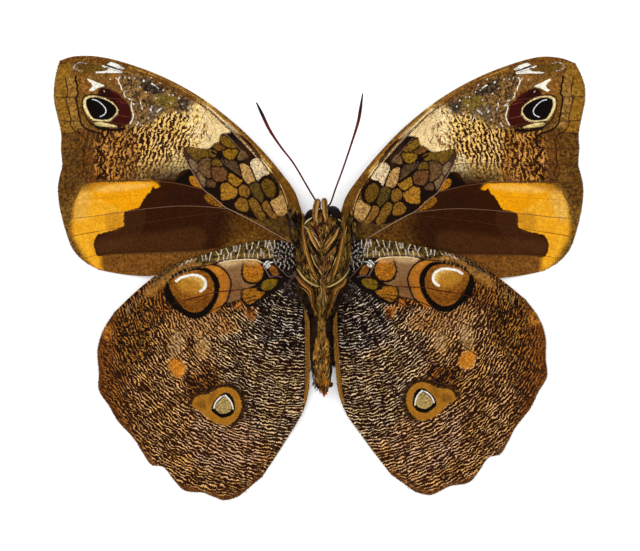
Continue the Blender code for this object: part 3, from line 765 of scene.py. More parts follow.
HIND_PALE = rows_in("""
white 2.5: 176.2,281 180.6,278 186.6,276 192.5,275 198.4,275.7 202.8,278 205.3,281.5 205.5,285.4
 203.8,288.9 200.4,291.3
white 1.3: 213.8,408 215.6,402.6 219,398.6 222,396.4
white 1.3: 225,395.4 229,399 231.8,404 233,409
white 1: 264,264.7 266.5,261.7 268.5,261.2
white 1: 266,266.7 269.5,262.9 272.4,262.2
white .9: 267.5,267.8 270.5,265.2
#f0d4a0 1: 220,262.9 229,260.9 241.8,259.7 250,259.5 257,260.2 261.6,262.6
#705454 .7: 270,277 276,275.8 282,277.2
#8c7068 .6: 263,265.5 266.6,271.6 270,276.5
#ce9a48 .7: 308.6,310 309.4,330 309.6,360 309,384
#96703c .8: 191,262 196,259
""")
COSTA_DASHES = [line for (line,) in rows_in("""
195,260.4 196,258.6
201.9,255.6 202.8,260.7
211.4,252.4 209.8,257.8 209.6,261
216.2,251.6 219.1,256.4 217.4,261
221.8,249.6 221.1,254
226,248 228.4,253.3 227,259
233.4,245.8 233.7,250.9
231.5,252.8 231,258.8
240.6,243.6 238.9,252 236.9,258
246.3,242.8 247.3,249
244.3,253.3 244.8,257.6
252.9,242.4 251.7,249
254.4,250.6 252.2,257.2
259.3,241.2 257.1,247.9
257.6,253.3 257.8,258
261.1,248.8 261.1,255.8
265.5,240.6 265,247
264,252.4 264,258
269.4,240.4 272.4,250.6
268.9,249.6 270,258
274.4,240.4 274.9,247
205.6,255 206.2,259.6
186,263 188,260.6
190,261.6 191.6,259
181,266 183,263.4
224,255 223.4,260
236.6,246 235.8,251
249.6,250.6 248.4,257.4
268,243 267.6,248
""")]
HIND_PALE += [((214, 198, 178), 0.8, line) for line in COSTA_DASHES]
FRONT_ROW = open_curve([(124, 309), (138, 294), (154, 281), (174, 268.5), (194, 259.5)], 5)
for (x, y), (nx, ny) in zip(FRONT_ROW[:-1], FRONT_ROW[1:]):
    lean, tall = 0.35 + rng.uniform(-0.1, 0.1), rng.uniform(0.9, 1.6)
    for inset in (2.2, 6.6):
        cx, cy = x + 0.6 * inset + rng.uniform(-1, 1), y + 0.8 * inset + rng.uniform(-1, 1)
        HIND_PALE.append(((164, 132, 90), 0.5, [(cx - lean * tall, cy - tall),
                                                  (cx + lean * tall, cy + tall)]))
for turn in range(5):
    reach = 2.2 + 2.9 * turn
    count = int(2 * math.pi * reach / 4.3)
    for k in range(count):
        angle = 2 * math.pi * (k + rng.uniform(-0.15, 0.15)) / count + turn
        x = 287 + 1.02 * reach * math.cos(angle)
        y = 254.5 + reach * math.sin(angle)
        lean, tall = rng.uniform(-0.5, 0.5), rng.uniform(0.6, 1.1)
        HIND_PALE.append(((208, 194, 178), 0.62, [(x - lean, y - tall), (x + lean, y + tall)]))
print(len(HIND_CELLS), "cells,", len(HIND_LINES) + len(HIND_PALE), "lines on a hindwing")

# %% [markdown]
# ## Putting the paint on the sheets
# Every sheet gets its distances and colours as point attributes. The ripples run across the
# wing, round its root, so each point also gets the angle that they follow.

# %% Paint the four sheets and give them their thickness
RIPPLE_CENTRES = {"forewing": (330, 190), "hindwing": (302, 250)}
GROUNDS = {"forewing": FORE_GROUND, "hindwing": HIND_GROUND}
PATCHES = {"forewing": {"fields": FORE_FIELDS, "cells": FORE_CELLS,
                        "patches": FORE_PATCHES},
           "hindwing": {"fields": HIND_FIELDS, "cells": HIND_CELLS,
                        "spots": HIND_SPOTS}}
WASHES = {"forewing": FORE_WASHES, "hindwing": HIND_WASHES}
LINES = {"forewing": {"ink": FORE_LINES, "pale": FORE_PALE},
         "hindwing": {"ink": HIND_LINES, "pale": HIND_PALE}}
SETTINGS = {"forewing": FORE_SET, "hindwing": HIND_SET}
UPPER_BROWN = (54, 30, 16)
UPPER_BAND = places_in("""
200,96 196,130 178,165 150,195 120,240 108,268 84,262 100,220 128,180 150,140 168,100 184,84
""")


def upper_paint(points, kind):
    """Colours of the side that faces down: dark brown, with an ochre band on the forewing."""
    colour = np.tile(linear(UPPER_BROWN), (len(points), 1))
    if kind == "forewing":
        w = smooth_step(patch_distance(points, UPPER_BAND) / 4 + 0.5)[:, None]
        return colour + (linear((206, 134, 44)) - colour) * w
    centre = np.hypot(points[:, 0] - 250, points[:, 1] - 360)
    w = smooth_step(1.2 - centre / 110)[:, None]
    return colour + (linear((40, 34, 48)) - colour) * w


def wash_paint(points, washes):
    """Soft washes of colour laid one over another: their colour and how much they cover."""
    colour, amount = np.zeros((len(points), 3)), np.zeros((len(points), 1))
    for softness, rgb, strength, outline in washes:
        d = patch_distance(points, outline)
        w = strength * smooth_step(np.clip(d / softness, -0.5, 0.5) + 0.5)[:, None]
        both = w + amount * (1 - w)
        colour = (linear(rgb) * w + colour * amount * (1 - w)) / np.maximum(both, 1e-6)
        amount = both
    return colour, amount[:, 0]


def paint_sheet(node):
    """Store the marks, the ground and the ripple angle of one wing on its sheet."""
    sheet, plan = WINGS[node]
    kind, side = node.split("_")
    points, mesh = to_drawing(plan), sheet.data
    light, dark, shares = ground_paint(points, GROUNDS[kind])
    put_attribute(mesh, "light", light)
    put_attribute(mesh, "dark", dark)
    for k, name in enumerate(("ripple", "cover", "broken")):
        put_attribute(mesh, name, shares[:, k])
    for name, marks in PATCHES[kind].items():
        distance, colour = patch_layer(points, marks, 0.9 if marks is FORE_CELLS else 0.0)
        put_attribute(mesh, name + "_distance", distance)
        put_attribute(mesh, name + "_colour", colour)
    colour, amount = wash_paint(points, WASHES[kind])
    put_attribute(mesh, "wash_colour", colour)
    put_attribute(mesh, "wash_amount", amount)
    for name, marks in LINES[kind].items():
        away, way, colour = line_layer(points, marks)
        put_attribute(mesh, name + "_distance", away)
        put_attribute(mesh, name + "_way", way)
        put_attribute(mesh, name + "_colour", colour)
    centre = from_drawing([RIPPLE_CENTRES[kind]])[0]
    angle = np.arctan2(plan[:, 1] - centre[1], plan[:, 0] - centre[0]) % (2 * math.pi)
    if side == "right":
        angle = math.pi - angle + SETTINGS[kind][0]
    put_attribute(mesh, "ripple_angle", angle)
    put_attribute(mesh, "upper_colour", upper_paint(points, kind))


for node in WINGS:
    paint_sheet(node)
    print("painted", node)

# %% [markdown]
# ## Effects that several finishes share
# Scales, ripples and the painted marks are node groups, each built once. A group gives out
# only colours, masks and heights, and the shader itself stays in each material.


# %% Helpers for nodes
def give(tree, node, values):
    """Give a node's inputs a value or a link."""
    for key, value in dict(values).items():
        if isinstance(value, bpy.types.NodeSocket):
            tree.links.new(value, node.inputs[key])
        else:
            node.inputs[key].default_value = value


def add_node(tree, kind, values=(), **settings):
    """Add a shader node, set it up and fill its inputs."""
    node = tree.nodes.new("ShaderNode" + kind)
    for name, value in settings.items():
        setattr(node, name, value)
    give(tree, node, values)
    return node


def maths(tree, operation, *values, clamp=False):
    """A Math node's result."""
    node = add_node(tree, "Math", dict(enumerate(values)), operation=operation)
    node.use_clamp = clamp
    return node.outputs[0]


def vector_maths(tree, operation, *values):
    """A Vector Math node."""
    return add_node(tree, "VectorMath", dict(enumerate(values)), operation=operation)


def mixed(tree, share, first, second, blend="MIX"):
    """A colour between two colours."""
    node = add_node(tree, "Mix", {0: share, 6: first, 7: second},
                    data_type="RGBA", blend_type=blend)
    return node.outputs[2]


def ramped(tree, value, low, high, out_low=0.0, out_high=1.0):
    """A value spread over a range, eased at both ends."""
    values = {"Value": value, "From Min": low, "From Max": high, "To Min": out_low,
              "To Max": out_high}
    node = add_node(tree, "MapRange", values, interpolation_type="SMOOTHSTEP")
    return node.outputs[0]


def noise(tree, vector, scale, detail=2.0, roughness=0.5):
    """A noise value."""
    values = {"Vector": vector, "Scale": scale, "Detail": detail, "Roughness": roughness}
    return add_node(tree, "TexNoise", values).outputs[0]


def attribute(tree, name, colour=False):
    """A stored number or colour of the mesh."""
    node = add_node(tree, "Attribute", attribute_name=name)
    return node.outputs["Color" if colour else "Fac"]


def shifted(tree, vector, offset):
    """Texture coordinates moved along, so that two sides don't repeat."""
    node = add_node(tree, "Mapping", {"Vector": vector, "Location": offset})
    return node.outputs[0]


def new_group(name, inputs, outputs):
    """Start a node group: the group, what it is given and what it gives. Its sockets are
    written as words, such as Mark:Color or Depth:Float."""
    group = bpy.data.node_groups.new(name, "ShaderNodeTree")
    for way, words in (("INPUT", inputs), ("OUTPUT", outputs)):
        for label, kind in (word.split(":") for word in words.split()):
            group.interface.new_socket(label, in_out=way, socket_type="NodeSocket" + kind)
    given, gives = group.nodes.new("NodeGroupInput"), group.nodes.new("NodeGroupOutput")
    return group, given.outputs, gives.inputs


def use_group(tree, group, values):
    """Place a node group and connect its inputs by name."""
    return add_node(tree, "Group", values, node_tree=group)


# %% [markdown]
# The painted mark ruffles its edge with a little noise before it draws it, because the edge of
# a real mark follows single scales.

# %% Group: painted mark
tree, given, gives = new_group(
    "painted_mark", "Under:Color Mark:Color Distance:Float Vector:Vector Ruffle:Float "
    "Softness:Float", "Colour:Color")
ragged = noise(tree, given["Vector"], 4200.0, 3.0, 0.75)
ragged = maths(tree, "SUBTRACT", ragged, 0.5)
ragged = maths(tree, "MULTIPLY_ADD", ragged, given["Ruffle"], given["Distance"])
ragged = maths(tree, "DIVIDE", ragged, given["Softness"])
mask = ramped(tree, ragged, -1.0, 1.0)
colour = mixed(tree, mask, given["Under"], given["Mark"])
tree.links.new(colour, gives["Colour"])
PAINTED_MARK = tree
print("group", tree.name, len(tree.nodes), "nodes")

# %% [markdown]
# A line is too thin for a stored distance, which is only known at the points of the mesh. The
# mesh stores the way to the line instead, with the line's half width as its third number: that
# way passes through zero exactly on the line, so the line stays whole between the points.

# %% Group: depth inside a line
STORED_SLACK = 0.12         # millimetres by which a stored distance may be wrong
tree, given, gives = new_group("line_depth", "Way:Vector Distance:Float", "Depth:Float")
parts = add_node(tree, "SeparateXYZ", {0: given["Way"]})
flat = add_node(tree, "CombineXYZ", {0: parts.outputs[0], 1: parts.outputs[1]})
length = vector_maths(tree, "LENGTH", flat.outputs[0])
least = maths(tree, "SUBTRACT", given["Distance"], STORED_SLACK)
length = maths(tree, "MAXIMUM", length.outputs["Value"], least)
depth = maths(tree, "SUBTRACT", parts.outputs[2], length)
tree.links.new(depth, gives["Depth"])
LINE_DEPTH = tree
print("group", tree.name, len(tree.nodes), "nodes")

# %% [markdown]
# The ripples could be a wave texture, but its lines never end. A Gabor texture gives short,
# forking waves that follow a given angle, just like the worn strokes on the real wing.

# %% Group: wing ripples
SWAY_SCALE = 760.0
WAVE_SCALE = 750.0
tree, given, gives = new_group(
    "wing_ripples", "Vector:Vector Angle:Float Cover:Float Broken:Float Frequency:Float",
    "Stroke:Float")
sway = add_node(tree, "TexNoise", {"Vector": given["Vector"], "Scale": SWAY_SCALE,
                                   "Detail": 4.0, "Roughness": 0.66})
sway = vector_maths(tree, "SUBTRACT", sway.outputs["Color"], (0.5, 0.5, 0.5))
reach = maths(tree, "MULTIPLY_ADD", given["Broken"], 1.6 * MM, 1.0 * MM)
sway = vector_maths(tree, "MULTIPLY_ADD", sway.outputs[0], reach, given["Vector"])
waves = add_node(tree, "TexGabor",
                 {"Vector": sway.outputs[0], "Scale": WAVE_SCALE, 4: given["Angle"],
                  "Frequency": given["Frequency"], "Anisotropy": 0.94}, gabor_type="2D")
breaks = noise(tree, given["Vector"], 1700.0, 3.0, 0.65)
breaks = maths(tree, "SUBTRACT", breaks, 0.5)
breaks = maths(tree, "MULTIPLY", breaks, given["Broken"])
even = maths(tree, "SUBTRACT", waves.outputs["Phase"], 0.5)
even = maths(tree, "MULTIPLY", even, 2 * math.pi)
even = maths(tree, "SINE", even)
even = maths(tree, "MULTIPLY_ADD", even, 0.24, 0.5)
uneven = maths(tree, "MULTIPLY_ADD", given["Broken"], 0.6, 0.24)
stroke = add_node(tree, "Mix", {0: uneven, 2: even, 3: waves.outputs["Value"]}).outputs[0]
stroke = maths(tree, "MULTIPLY_ADD", breaks, 1.5, stroke)
edge = maths(tree, "MULTIPLY_ADD", given["Cover"], -0.62, 0.83)
stroke = maths(tree, "SUBTRACT", stroke, edge)
stroke = ramped(tree, stroke, -0.03, 0.08)
tree.links.new(stroke, gives["Stroke"])
WING_RIPPLES = tree
print("group", tree.name, len(tree.nodes), "nodes")

# %% [markdown]
# A wing is tiled with dust-fine scales, each a slightly different tone. Small Voronoi cells
# give the tiles, one tone each and a low rise for the bump.

# %% Group: scale tiles
tree, given, gives = new_group(
    "scale_tiles", "Vector:Vector Colour:Color Contrast:Float", "Colour:Color Height:Float")
cells = add_node(tree, "TexVoronoi",
                 {"Vector": given["Vector"], "Scale": 6400.0, "Randomness": 0.8})
tone = add_node(tree, "SeparateColor", {0: cells.outputs["Color"]})
patchy = noise(tree, given["Vector"], 900.0, 4.0, 0.7)
tone = maths(tree, "ADD", tone.outputs[0], patchy)
tone = maths(tree, "SUBTRACT", tone, 1.0)
tone = maths(tree, "MULTIPLY_ADD", tone, given["Contrast"], 1.0)
toned = vector_maths(tree, "MULTIPLY", given["Colour"], tone)
height = maths(tree, "SUBTRACT", 1.0, cells.outputs["Distance"])
tree.links.new(toned.outputs[0], gives["Colour"])
tree.links.new(height, gives["Height"])
SCALE_TILES = tree
print("group", tree.name, len(tree.nodes), "nodes")

# %% [markdown]
# ## The wing finishes
# The side that faces up is the painted underside. From below to the top it has the two ground
# colours, mixed as speckles or ripples, and the four layers of marks. Dry scales are matt, so
# the roughness is high and only the scale tiles break the light.


# %% Painted underside of a wing
def dress(piece, material, slot, *nodes):
    """Finish a piece: its material, its body and the nodes it stands for. The slot is not used.
    """
    piece.data.materials.clear()
    piece.data.materials.append(material)
    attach(piece, BODY)
    if nodes:
        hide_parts(*nodes)
    print(piece.name, len(piece.data.polygons), "faces")


def plain_material(name):
    """A material with its Principled shader and Object coordinates."""
    material = bpy.data.materials.new(name)
    material.use_nodes = True
    tree = material.node_tree
    shader = tree.nodes["Principled BSDF"]
    place = add_node(tree, "TexCoord").outputs["Object"]
    return material, tree, shader, place


def finish_shader(tree, shader, colour, height, depth, roughness, specular, strength=0.5):
    """Connect a colour and a bump height, and set how the surface shines."""
    bump = add_node(tree, "Bump", {"Height": height, "Distance": depth, "Strength": strength})
    give(tree, shader, {"Base Color": colour, "Normal": bump.outputs[0],
                        "Roughness": roughness, "Specular IOR Level": specular})


RUFFLES = {"fields": 0.7, "cells": 0.6, "patches": 0.3, "spots": 0.25, "ink": 0.34,
           "pale": 0.26}
TILE_DEPTH = 0.02 * MM
MARK_EDGE = 0.055           # millimetres over which a mark's edge fades
WING_SHINE = 0.04


def underside_material(name, kind, offset):
    """The painted side of a wing."""
    material, tree, shader, place = plain_material(name)
    place = shifted(tree, place, offset)
    speckles = noise(tree, place, 2300.0, 4.0, 0.75)
    cover = attribute(tree, "cover")
    level = maths(tree, "MULTIPLY_ADD", cover, -0.3, 0.65)
    speckles = maths(tree, "SUBTRACT", speckles, level)
    speckles = ramped(tree, speckles, -0.09, 0.09)
    strokes = use_group(tree, WING_RIPPLES, {
        "Vector": place, "Cover": cover, "Broken": attribute(tree, "broken"),
        "Angle": attribute(tree, "ripple_angle"),
        "Frequency": 2.0 if kind == "forewing" else 2.75})
    pattern = add_node(tree, "Mix",
                       {0: attribute(tree, "ripple"), 2: speckles, 3: strokes.outputs[0]})
    shimmer = noise(tree, place, 1300.0, 3.0, 0.7)
    shimmer = ramped(tree, shimmer, 0.3, 0.7, 0.66, 1.22)
    keep = maths(tree, "MULTIPLY_ADD", attribute(tree, "ripple"), 0.6, 0.4)
    shimmer = add_node(tree, "Mix", {0: keep, 2: 1.0, 3: shimmer}).outputs[0]
    drift = noise(tree, place, 420.0, 2.0, 0.5)
    drift = ramped(tree, drift, 0.42, 0.6)
    tinge = mixed(tree, drift, (1.0, 1.0, 1.0, 1.0), (0.94, 0.86, 0.62, 1.0))
    light = vector_maths(tree, "MULTIPLY", attribute(tree, "light", True), tinge)
    light = vector_maths(tree, "MULTIPLY", light.outputs[0], shimmer)
    colour = mixed(tree, pattern.outputs[0], attribute(tree, "dark", True), light.outputs[0])
    flecks = noise(tree, place, 2700.0, 4.0, 0.8)
    flecks = ramped(tree, flecks, 0.4, 0.56, 0.36, 1.06)

    def lay(under, layer, depth):
        mark = attribute(tree, layer + "_colour", True)
        if layer in ("cells", "spots"):
            mark = vector_maths(tree, "MULTIPLY", mark, flecks).outputs[0]
        values = {"Under": under, "Mark": mark, "Distance": depth, "Vector": place,
                  "Ruffle": RUFFLES[layer], "Softness": MARK_EDGE}
        return use_group(tree, PAINTED_MARK, values).outputs["Colour"]

    for layer in PATCHES[kind]:
        colour = lay(colour, layer, attribute(tree, layer + "_distance"))
    grain = noise(tree, place, 3800.0, 3.0, 0.7)
    wash = maths(tree, "MULTIPLY", attribute(tree, "wash_amount"),
                 ramped(tree, grain, 0.3, 0.62, 0.55, 1.0))
    colour = mixed(tree, wash, colour, attribute(tree, "wash_colour", True))
    for layer in LINES[kind]:
        way = add_node(tree, "Attribute", attribute_name=layer + "_way")
        depth = use_group(tree, LINE_DEPTH, {
            "Way": way.outputs["Vector"], "Distance": attribute(tree, layer + "_distance")})
        colour = lay(colour, layer, depth.outputs["Depth"])
    contrast = maths(tree, "MULTIPLY_ADD", attribute(tree, "broken"), 0.76, 0.27)
    tiles = use_group(tree, SCALE_TILES, {"Vector": place, "Colour": colour,
                                          "Contrast": contrast})
    finish_shader(tree, shader, tiles.outputs["Colour"], tiles.outputs["Height"], TILE_DEPTH,
                  0.7, WING_SHINE)
    return material

# %% [markdown]
# The other side lies on the table. It is a guess: plain dark brown scales with a soft ochre
# band, and the pattern shows through only faintly.

# %% Upper side of a wing
def upper_side_material(name, offset):
    """The side of a wing that lies on the table."""
    material, tree, shader, place = plain_material(name)
    place = shifted(tree, place, offset)
    strokes = use_group(tree, WING_RIPPLES, {"Vector": place, "Cover": 0.4, "Broken": 0.8,
                                             "Angle": attribute(tree, "ripple_angle"),
                                             "Frequency": 2.5})
    faint = maths(tree, "MULTIPLY", strokes.outputs[0], 0.12)
    colour = mixed(tree, faint, attribute(tree, "upper_colour", True),
                   attribute(tree, "light", True))
    tiles = use_group(tree, SCALE_TILES, {"Vector": place, "Colour": colour, "Contrast": 0.5})
    finish_shader(tree, shader, tiles.outputs["Colour"], tiles.outputs["Height"], TILE_DEPTH,
                  0.6, 0.12)
    return material


OFFSETS = {"forewing_left": (0, 0, 0), "forewing_right": (0.31, 0.17, 0),
           "hindwing_left": (0.05, 0.43, 0), "hindwing_right": (0.23, 0.61, 0)}
SURFACES = {}
for node, (sheet, _) in WINGS.items():
    mesh = sheet.data
    points = coordinates(mesh)
    faces = [tuple(face.vertices) for face in mesh.polygons]
    SURFACES[node] = BVHTree.FromPolygons([Vector(p) for p in points], faces)
    mesh.materials.append(underside_material(node + "_underside", node.split("_")[0],
                                             OFFSETS[node]))
    mesh.materials.append(upper_side_material(node + "_upper_side", OFFSETS[node]))
    skin = sheet.modifiers.new("membrane", "SOLIDIFY")
    skin.thickness = MEMBRANE * MM
    skin.offset = -1.0
    skin.material_offset = 1
    skin.material_offset_rim = 0
    take_up(sheet)
    bpy.ops.object.modifier_apply(modifier=skin.name)
    bpy.ops.object.shade_smooth()
    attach(sheet, BODY)
    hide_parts(node)
    print(sheet.name, len(sheet.data.polygons), "faces")

# %% [markdown]
# ## Veins
# Veins are hollow tubes that stiffen the membrane. Painted lines would vanish when the light
# falls from the side, so they are thin tubes laid on the sheet, half sunk into it: a curve
# with a round bevel, made a mesh.

# %% Vein lines in drawing units: half width at the root end and at the tip, colour, line
FORE_VEINS = rows_in("""
.07 .04 #603c18: 296,226 290,200 280,181 266,163 250,146 232,127.5 215,111 196,96 172,82 145,71
 118,63 92,59
.06 .03 #68441e: 262,160 240,137 222,121 200,104.5 172,90 146,79.5 120,71.5 88,64
.075 .05 #a08068: 294,243 284,238.6 255,222.4 235,212 225,207 210,194.5 203,189 195,176 185,160
 182,155
.05 .03 #684424: 182,155 183,148 188,140 200,122 206,109
.05 .03 #5c3818: 186,143 170,132 150,127.5 130,125 100,121 80,121 60,121
.05 .03 #583416: 182,152 160,149 130,147.5 110,147.5 80,148.5 61,149
.05 .03 #603c1c: 186,162 165,161 130,162 97,163 80,164.5 61,165.5
.05 .03 #704a2a: 203,189 193,187 180,184 165,182 150,180.8 120,179.5 100,180.5 80,181.5 60,182.5
.06 .03 #7e5c42: 227,208.5 205,206.7 190,206 175,206.2 155,207.8 140,209.4 122,212 98,215.5 77,218
 66,220
.05 .03 #965e1a: 122,227 108,229.4 95,232 73,236
.055 .04 #482810: 232,211 214,213 190,216 150,222 123,226.8
.06 .03 #603e1e: 292,243 270,244.5 240,247 205,250.5 150,252.5 100,255 85,258
.045 .025 #64401c: 140,103 120,99 96,97 75,97 56,97
""")
HIND_VEINS = rows_in("""
.06 .03 #624832: 292,259 276,258 262,258.6 247,257.6 232,258.8 219,261 209,264.6 198,266 180,270
 160,282
.045 .035 #866a58: 298,272 289,277 285,273.5 279,268 273,261.5
.05 .04 #461e0e: 262,287 240,289.5 220,291.5 205,295 186,299.5 170,305 150,315 128,326 104,341
.045 .03 #705440: 299,272 294.5,275.5 290,282 284,289 277,303 272,311 265,325 252,352 240,374
 234,386
""") + [(0.05, 0.04, (50, 27, 13), line) for line in DARK_VEINS]


def seat(node, plan):
    """Height in millimetres of a wing's face under each plan point, or that of the next
    point in the row where a point lies just off the wing."""
    found = []
    for x, y in plan:
        hit = SURFACES[node].ray_cast(Vector((x, y, 100)) * MM, Vector((0, 0, -1)))[0]
        found.append(hit.z / MM if hit else math.nan)
    found = np.array(found)
    known = np.flatnonzero(~np.isnan(found))
    row = np.arange(len(found))
    return found[known[np.argmin(np.abs(row[:, None] - known[None]), axis=1)]]


def unit(ways):
    """Ways made one long."""
    return ways / np.maximum(np.linalg.norm(ways, axis=1), 1e-6)[:, None]


def directions(line):
    """Unit directions along a plan line at each of its points, and those to its left."""
    tangent = unit(np.gradient(line, axis=0))
    return tangent, np.column_stack((-tangent[:, 1], tangent[:, 0]))


def tube_mesh(name, lines, sides=3):
    """One mesh of round tubes: each line is an array of x, y, z, radius in millimetres."""
    curve = bpy.data.curves.new(name, "CURVE")
    curve.dimensions = "3D"
    curve.bevel_depth = MM
    curve.bevel_resolution = sides
    curve.use_fill_caps = True
    for line in lines:
        spline = curve.splines.new("POLY")
        spline.points.add(len(line) - 1)
        for knot, (x, y, z, radius) in zip(spline.points, line):
            knot.co = (x * MM, y * MM, z * MM, 1)
            knot.radius = radius
    ob = bpy.data.objects.new(name, curve)
    scene.collection.objects.link(ob)
    take_up(ob)
    bpy.ops.object.convert(target="MESH")
    bpy.ops.object.shade_smooth()
    return bpy.context.object


def nearest_row(points, rows):
    """For each point the number of the nearest of some rows."""
    return np.argmin(((points[:, None] - rows[None]) ** 2).sum(2), axis=1)


def tint_by_nearest(mesh, lines, colours):
    """Give every point of a mesh the colour of the line that it belongs to."""
    points = coordinates(mesh) / MM
    best = np.full(len(points), 1e9)
    tint = np.zeros((len(points), 3))
    for line, rgb in zip(lines, colours):
        for knot in line[:, :3]:
            d = np.linalg.norm(points - knot, axis=1)
            near = d < best
            best[near] = d[near]
            tint[near] = linear(rgb)
    put_attribute(mesh, "tint", tint)


def tinted_material(name, roughness, specular, contrast, spots=2600.0, bump_depth=0.03 * MM):
    """A finish whose colour is stored in the mesh, varied by fine noise."""
    material, tree, shader, place = plain_material(name)
    fine = noise(tree, place, spots, 4.0, 0.7)
    tone = maths(tree, "SUBTRACT", fine, 0.5)
    tone = maths(tree, "MULTIPLY_ADD", tone, contrast, 1.0)
    toned = vector_maths(tree, "MULTIPLY", attribute(tree, "tint", True), tone)
    finish_shader(tree, shader, toned.outputs[0], fine, bump_depth, roughness, specular, 0.6)
    return material


VEIN_SKIN = tinted_material("vein_skin", 0.6, 0.08, 0.9)
VEIN_STEP = 0.6             # millimetres between the points of a vein
for node in WINGS:
    kind, side = node.split("_")
    lines, colours = [], []
    for start, end, rgb, points in FORE_VEINS if kind == "forewing" else HIND_VEINS:
        plan = from_drawing(points)
        length = np.hypot(*np.diff(plan, axis=0).T).sum()
        plan = along(plan, np.linspace(0, 1, int(length / VEIN_STEP) + 2))
        if side == "right":
            plan = to_right(plan, SETTINGS[kind])
        radii = np.linspace(start, end, len(plan))
        lines.append(np.column_stack((plan, seat(node, plan) - radii * 0.25, radii)))
        colours.append(rgb)
    veins = tube_mesh(node + "_veins", lines)
    tint_by_nearest(veins.data, lines, colours)
    dress(veins, VEIN_SKIN, "wing_scales")

# %% [markdown]
# ## Fringe
# The outer margins end in a fringe of long, narrow scales. Each is a small pointed blade. They
# are thousands and all alike, so one blade is written as numbers and copied along the margin.

# %% Fringe blades along the outer and trailing margins
BLADE = np.array([(0, -0.5, 0), (0, 0.5, 0), (0.7, 0.42, 0.02), (0.7, -0.42, 0.02),
                  (1, 0, 0.03)])
BLADE_FACES = [(0, 3, 2, 1), (3, 4, 2)]


def mesh_piece(name, points, faces):
    """A mesh object from points in millimetres and faces."""
    mesh = bpy.data.meshes.new(name)
    mesh.from_pydata([tuple(p) for p in np.asarray(points) * MM], [], faces)
    mesh.update()
    ob = bpy.data.objects.new(name, mesh)
    scene.collection.objects.link(ob)
    return ob


def fringe(node, edges, spacing=0.13):
    """A row of blades that grows out of the rim of one wing."""
    kind, side = node.split("_")
    places, ways = [], []
    rows = [edges[1]] if kind == "forewing" else [edges[1], edges[2]]
    for row in rows:
        plan = np.array(row, float)
        length = np.hypot(*np.diff(plan, axis=0).T).sum()
        line = along(plan, np.linspace(0, 1, int(length / spacing)))
        if side == "right":
            line = to_right(line, SETTINGS[kind])
        normal = directions(line)[1]
        if kind == "forewing":
            outward = np.sign(normal[:, 0] * (line[:, 0] - BODY_X))
        else:
            outward = np.sign(np.einsum("ij,ij->i", normal, line - line.mean(0)))
        places.append(line)
        ways.append(normal * outward[:, None])
    places, ways = np.vstack(places), np.vstack(ways)
    n = len(places)
    turn = rng.uniform(-0.3, 0.3, n)
    way = np.column_stack((ways[:, 0] * np.cos(turn) - ways[:, 1] * np.sin(turn),
                           ways[:, 0] * np.sin(turn) + ways[:, 1] * np.cos(turn)))
    cross = np.column_stack((-way[:, 1], way[:, 0]))
    long = rng.uniform(0.22, 0.36, n)
    start = places - ways * 0.2
    z = seat(node, places - ways * 0.25) + rng.uniform(-0.05, 0.01, n)
    blades = []
    for across_x, across_y, up in BLADE:
        plan = start + way * (long * across_x)[:, None] + cross * (0.11 * across_y)
        blades.append(np.column_stack((plan, z + up)))
    points = np.stack(blades, axis=1).reshape(-1, 3)
    faces = [tuple(5 * i + k for k in face) for i in range(n) for face in BLADE_FACES]
    piece = mesh_piece(node + "_fringe", points, faces)
    tone = rng.uniform(0.5, 1.25, n)[:, None] * linear((104, 72, 30))
    put_attribute(piece.data, "tint", np.repeat(tone, 5, axis=0))
    dress(piece, FRINGE_SKIN, "wing_scales")


FRINGE_SKIN = tinted_material("fringe_scales", 0.7, 0.2, 0.6)
for node in WINGS:
    kind, side = node.split("_")
    fringe(node, (FORE_EDGES if kind == "forewing" else HIND_EDGES)[side])

# %% [markdown]
# ## Thorax, abdomen and head
# Under their hair these are plain skins. Each starts as a primitive at its size and place; the
# thorax and the head are cut flat where they meet, and the abdomen is a bridged stack of rings
# with shallow grooves between its segments.

# %% Sizes of the body, in millimetres
THORAX_CENTRE = (0.4, 2.2, 3.95)
THORAX_RADII = (4.05, 8.95, 3.7)
NECK_Y = 8.3
WAIST_Y = -5.6
HEAD_CENTRE = (0.45, 9.0, 3.95)
HEAD_RADII = (2.95, 1.9, 1.7)
HEAD_BACK_Y = 8.3
# Rings of the abdomen: y, middle x, half width, middle z, half height.
ABDOMEN_RINGS = places_in("""
-5.4,.35,1.5,3.5,1.55 -7.5,.3,1.62,3.2,1.85 -10,.3,1.64,3,1.9 -12.5,.35,1.7,2.85,1.8
-14.6,.45,1.65,2.65,1.55 -15.8,.6,1.26,2.5,1.2 -16.8,.75,.96,2.4,.92 -17.8,.85,.48,2.3,.48
-18.5,.9,.12,2.25,.12
""")


def dome(centre, radii):
    """A rule that gives the height of a rounded body's upper side at plan points."""
    (cx, cy, cz), (rx, ry, rz) = centre, radii

    def top(x, y):
        inside = 1 - ((np.asarray(x) - cx) / rx) ** 2 - ((np.asarray(y) - cy) / ry) ** 2
        return cz + rz * np.sqrt(np.maximum(inside, 0.0))
    return top


thorax_top = dome(THORAX_CENTRE, THORAX_RADII)
head_top = dome(HEAD_CENTRE, HEAD_RADII)
print("the thorax is", round(float(thorax_top(*THORAX_CENTRE[:2])), 2), "mm high")


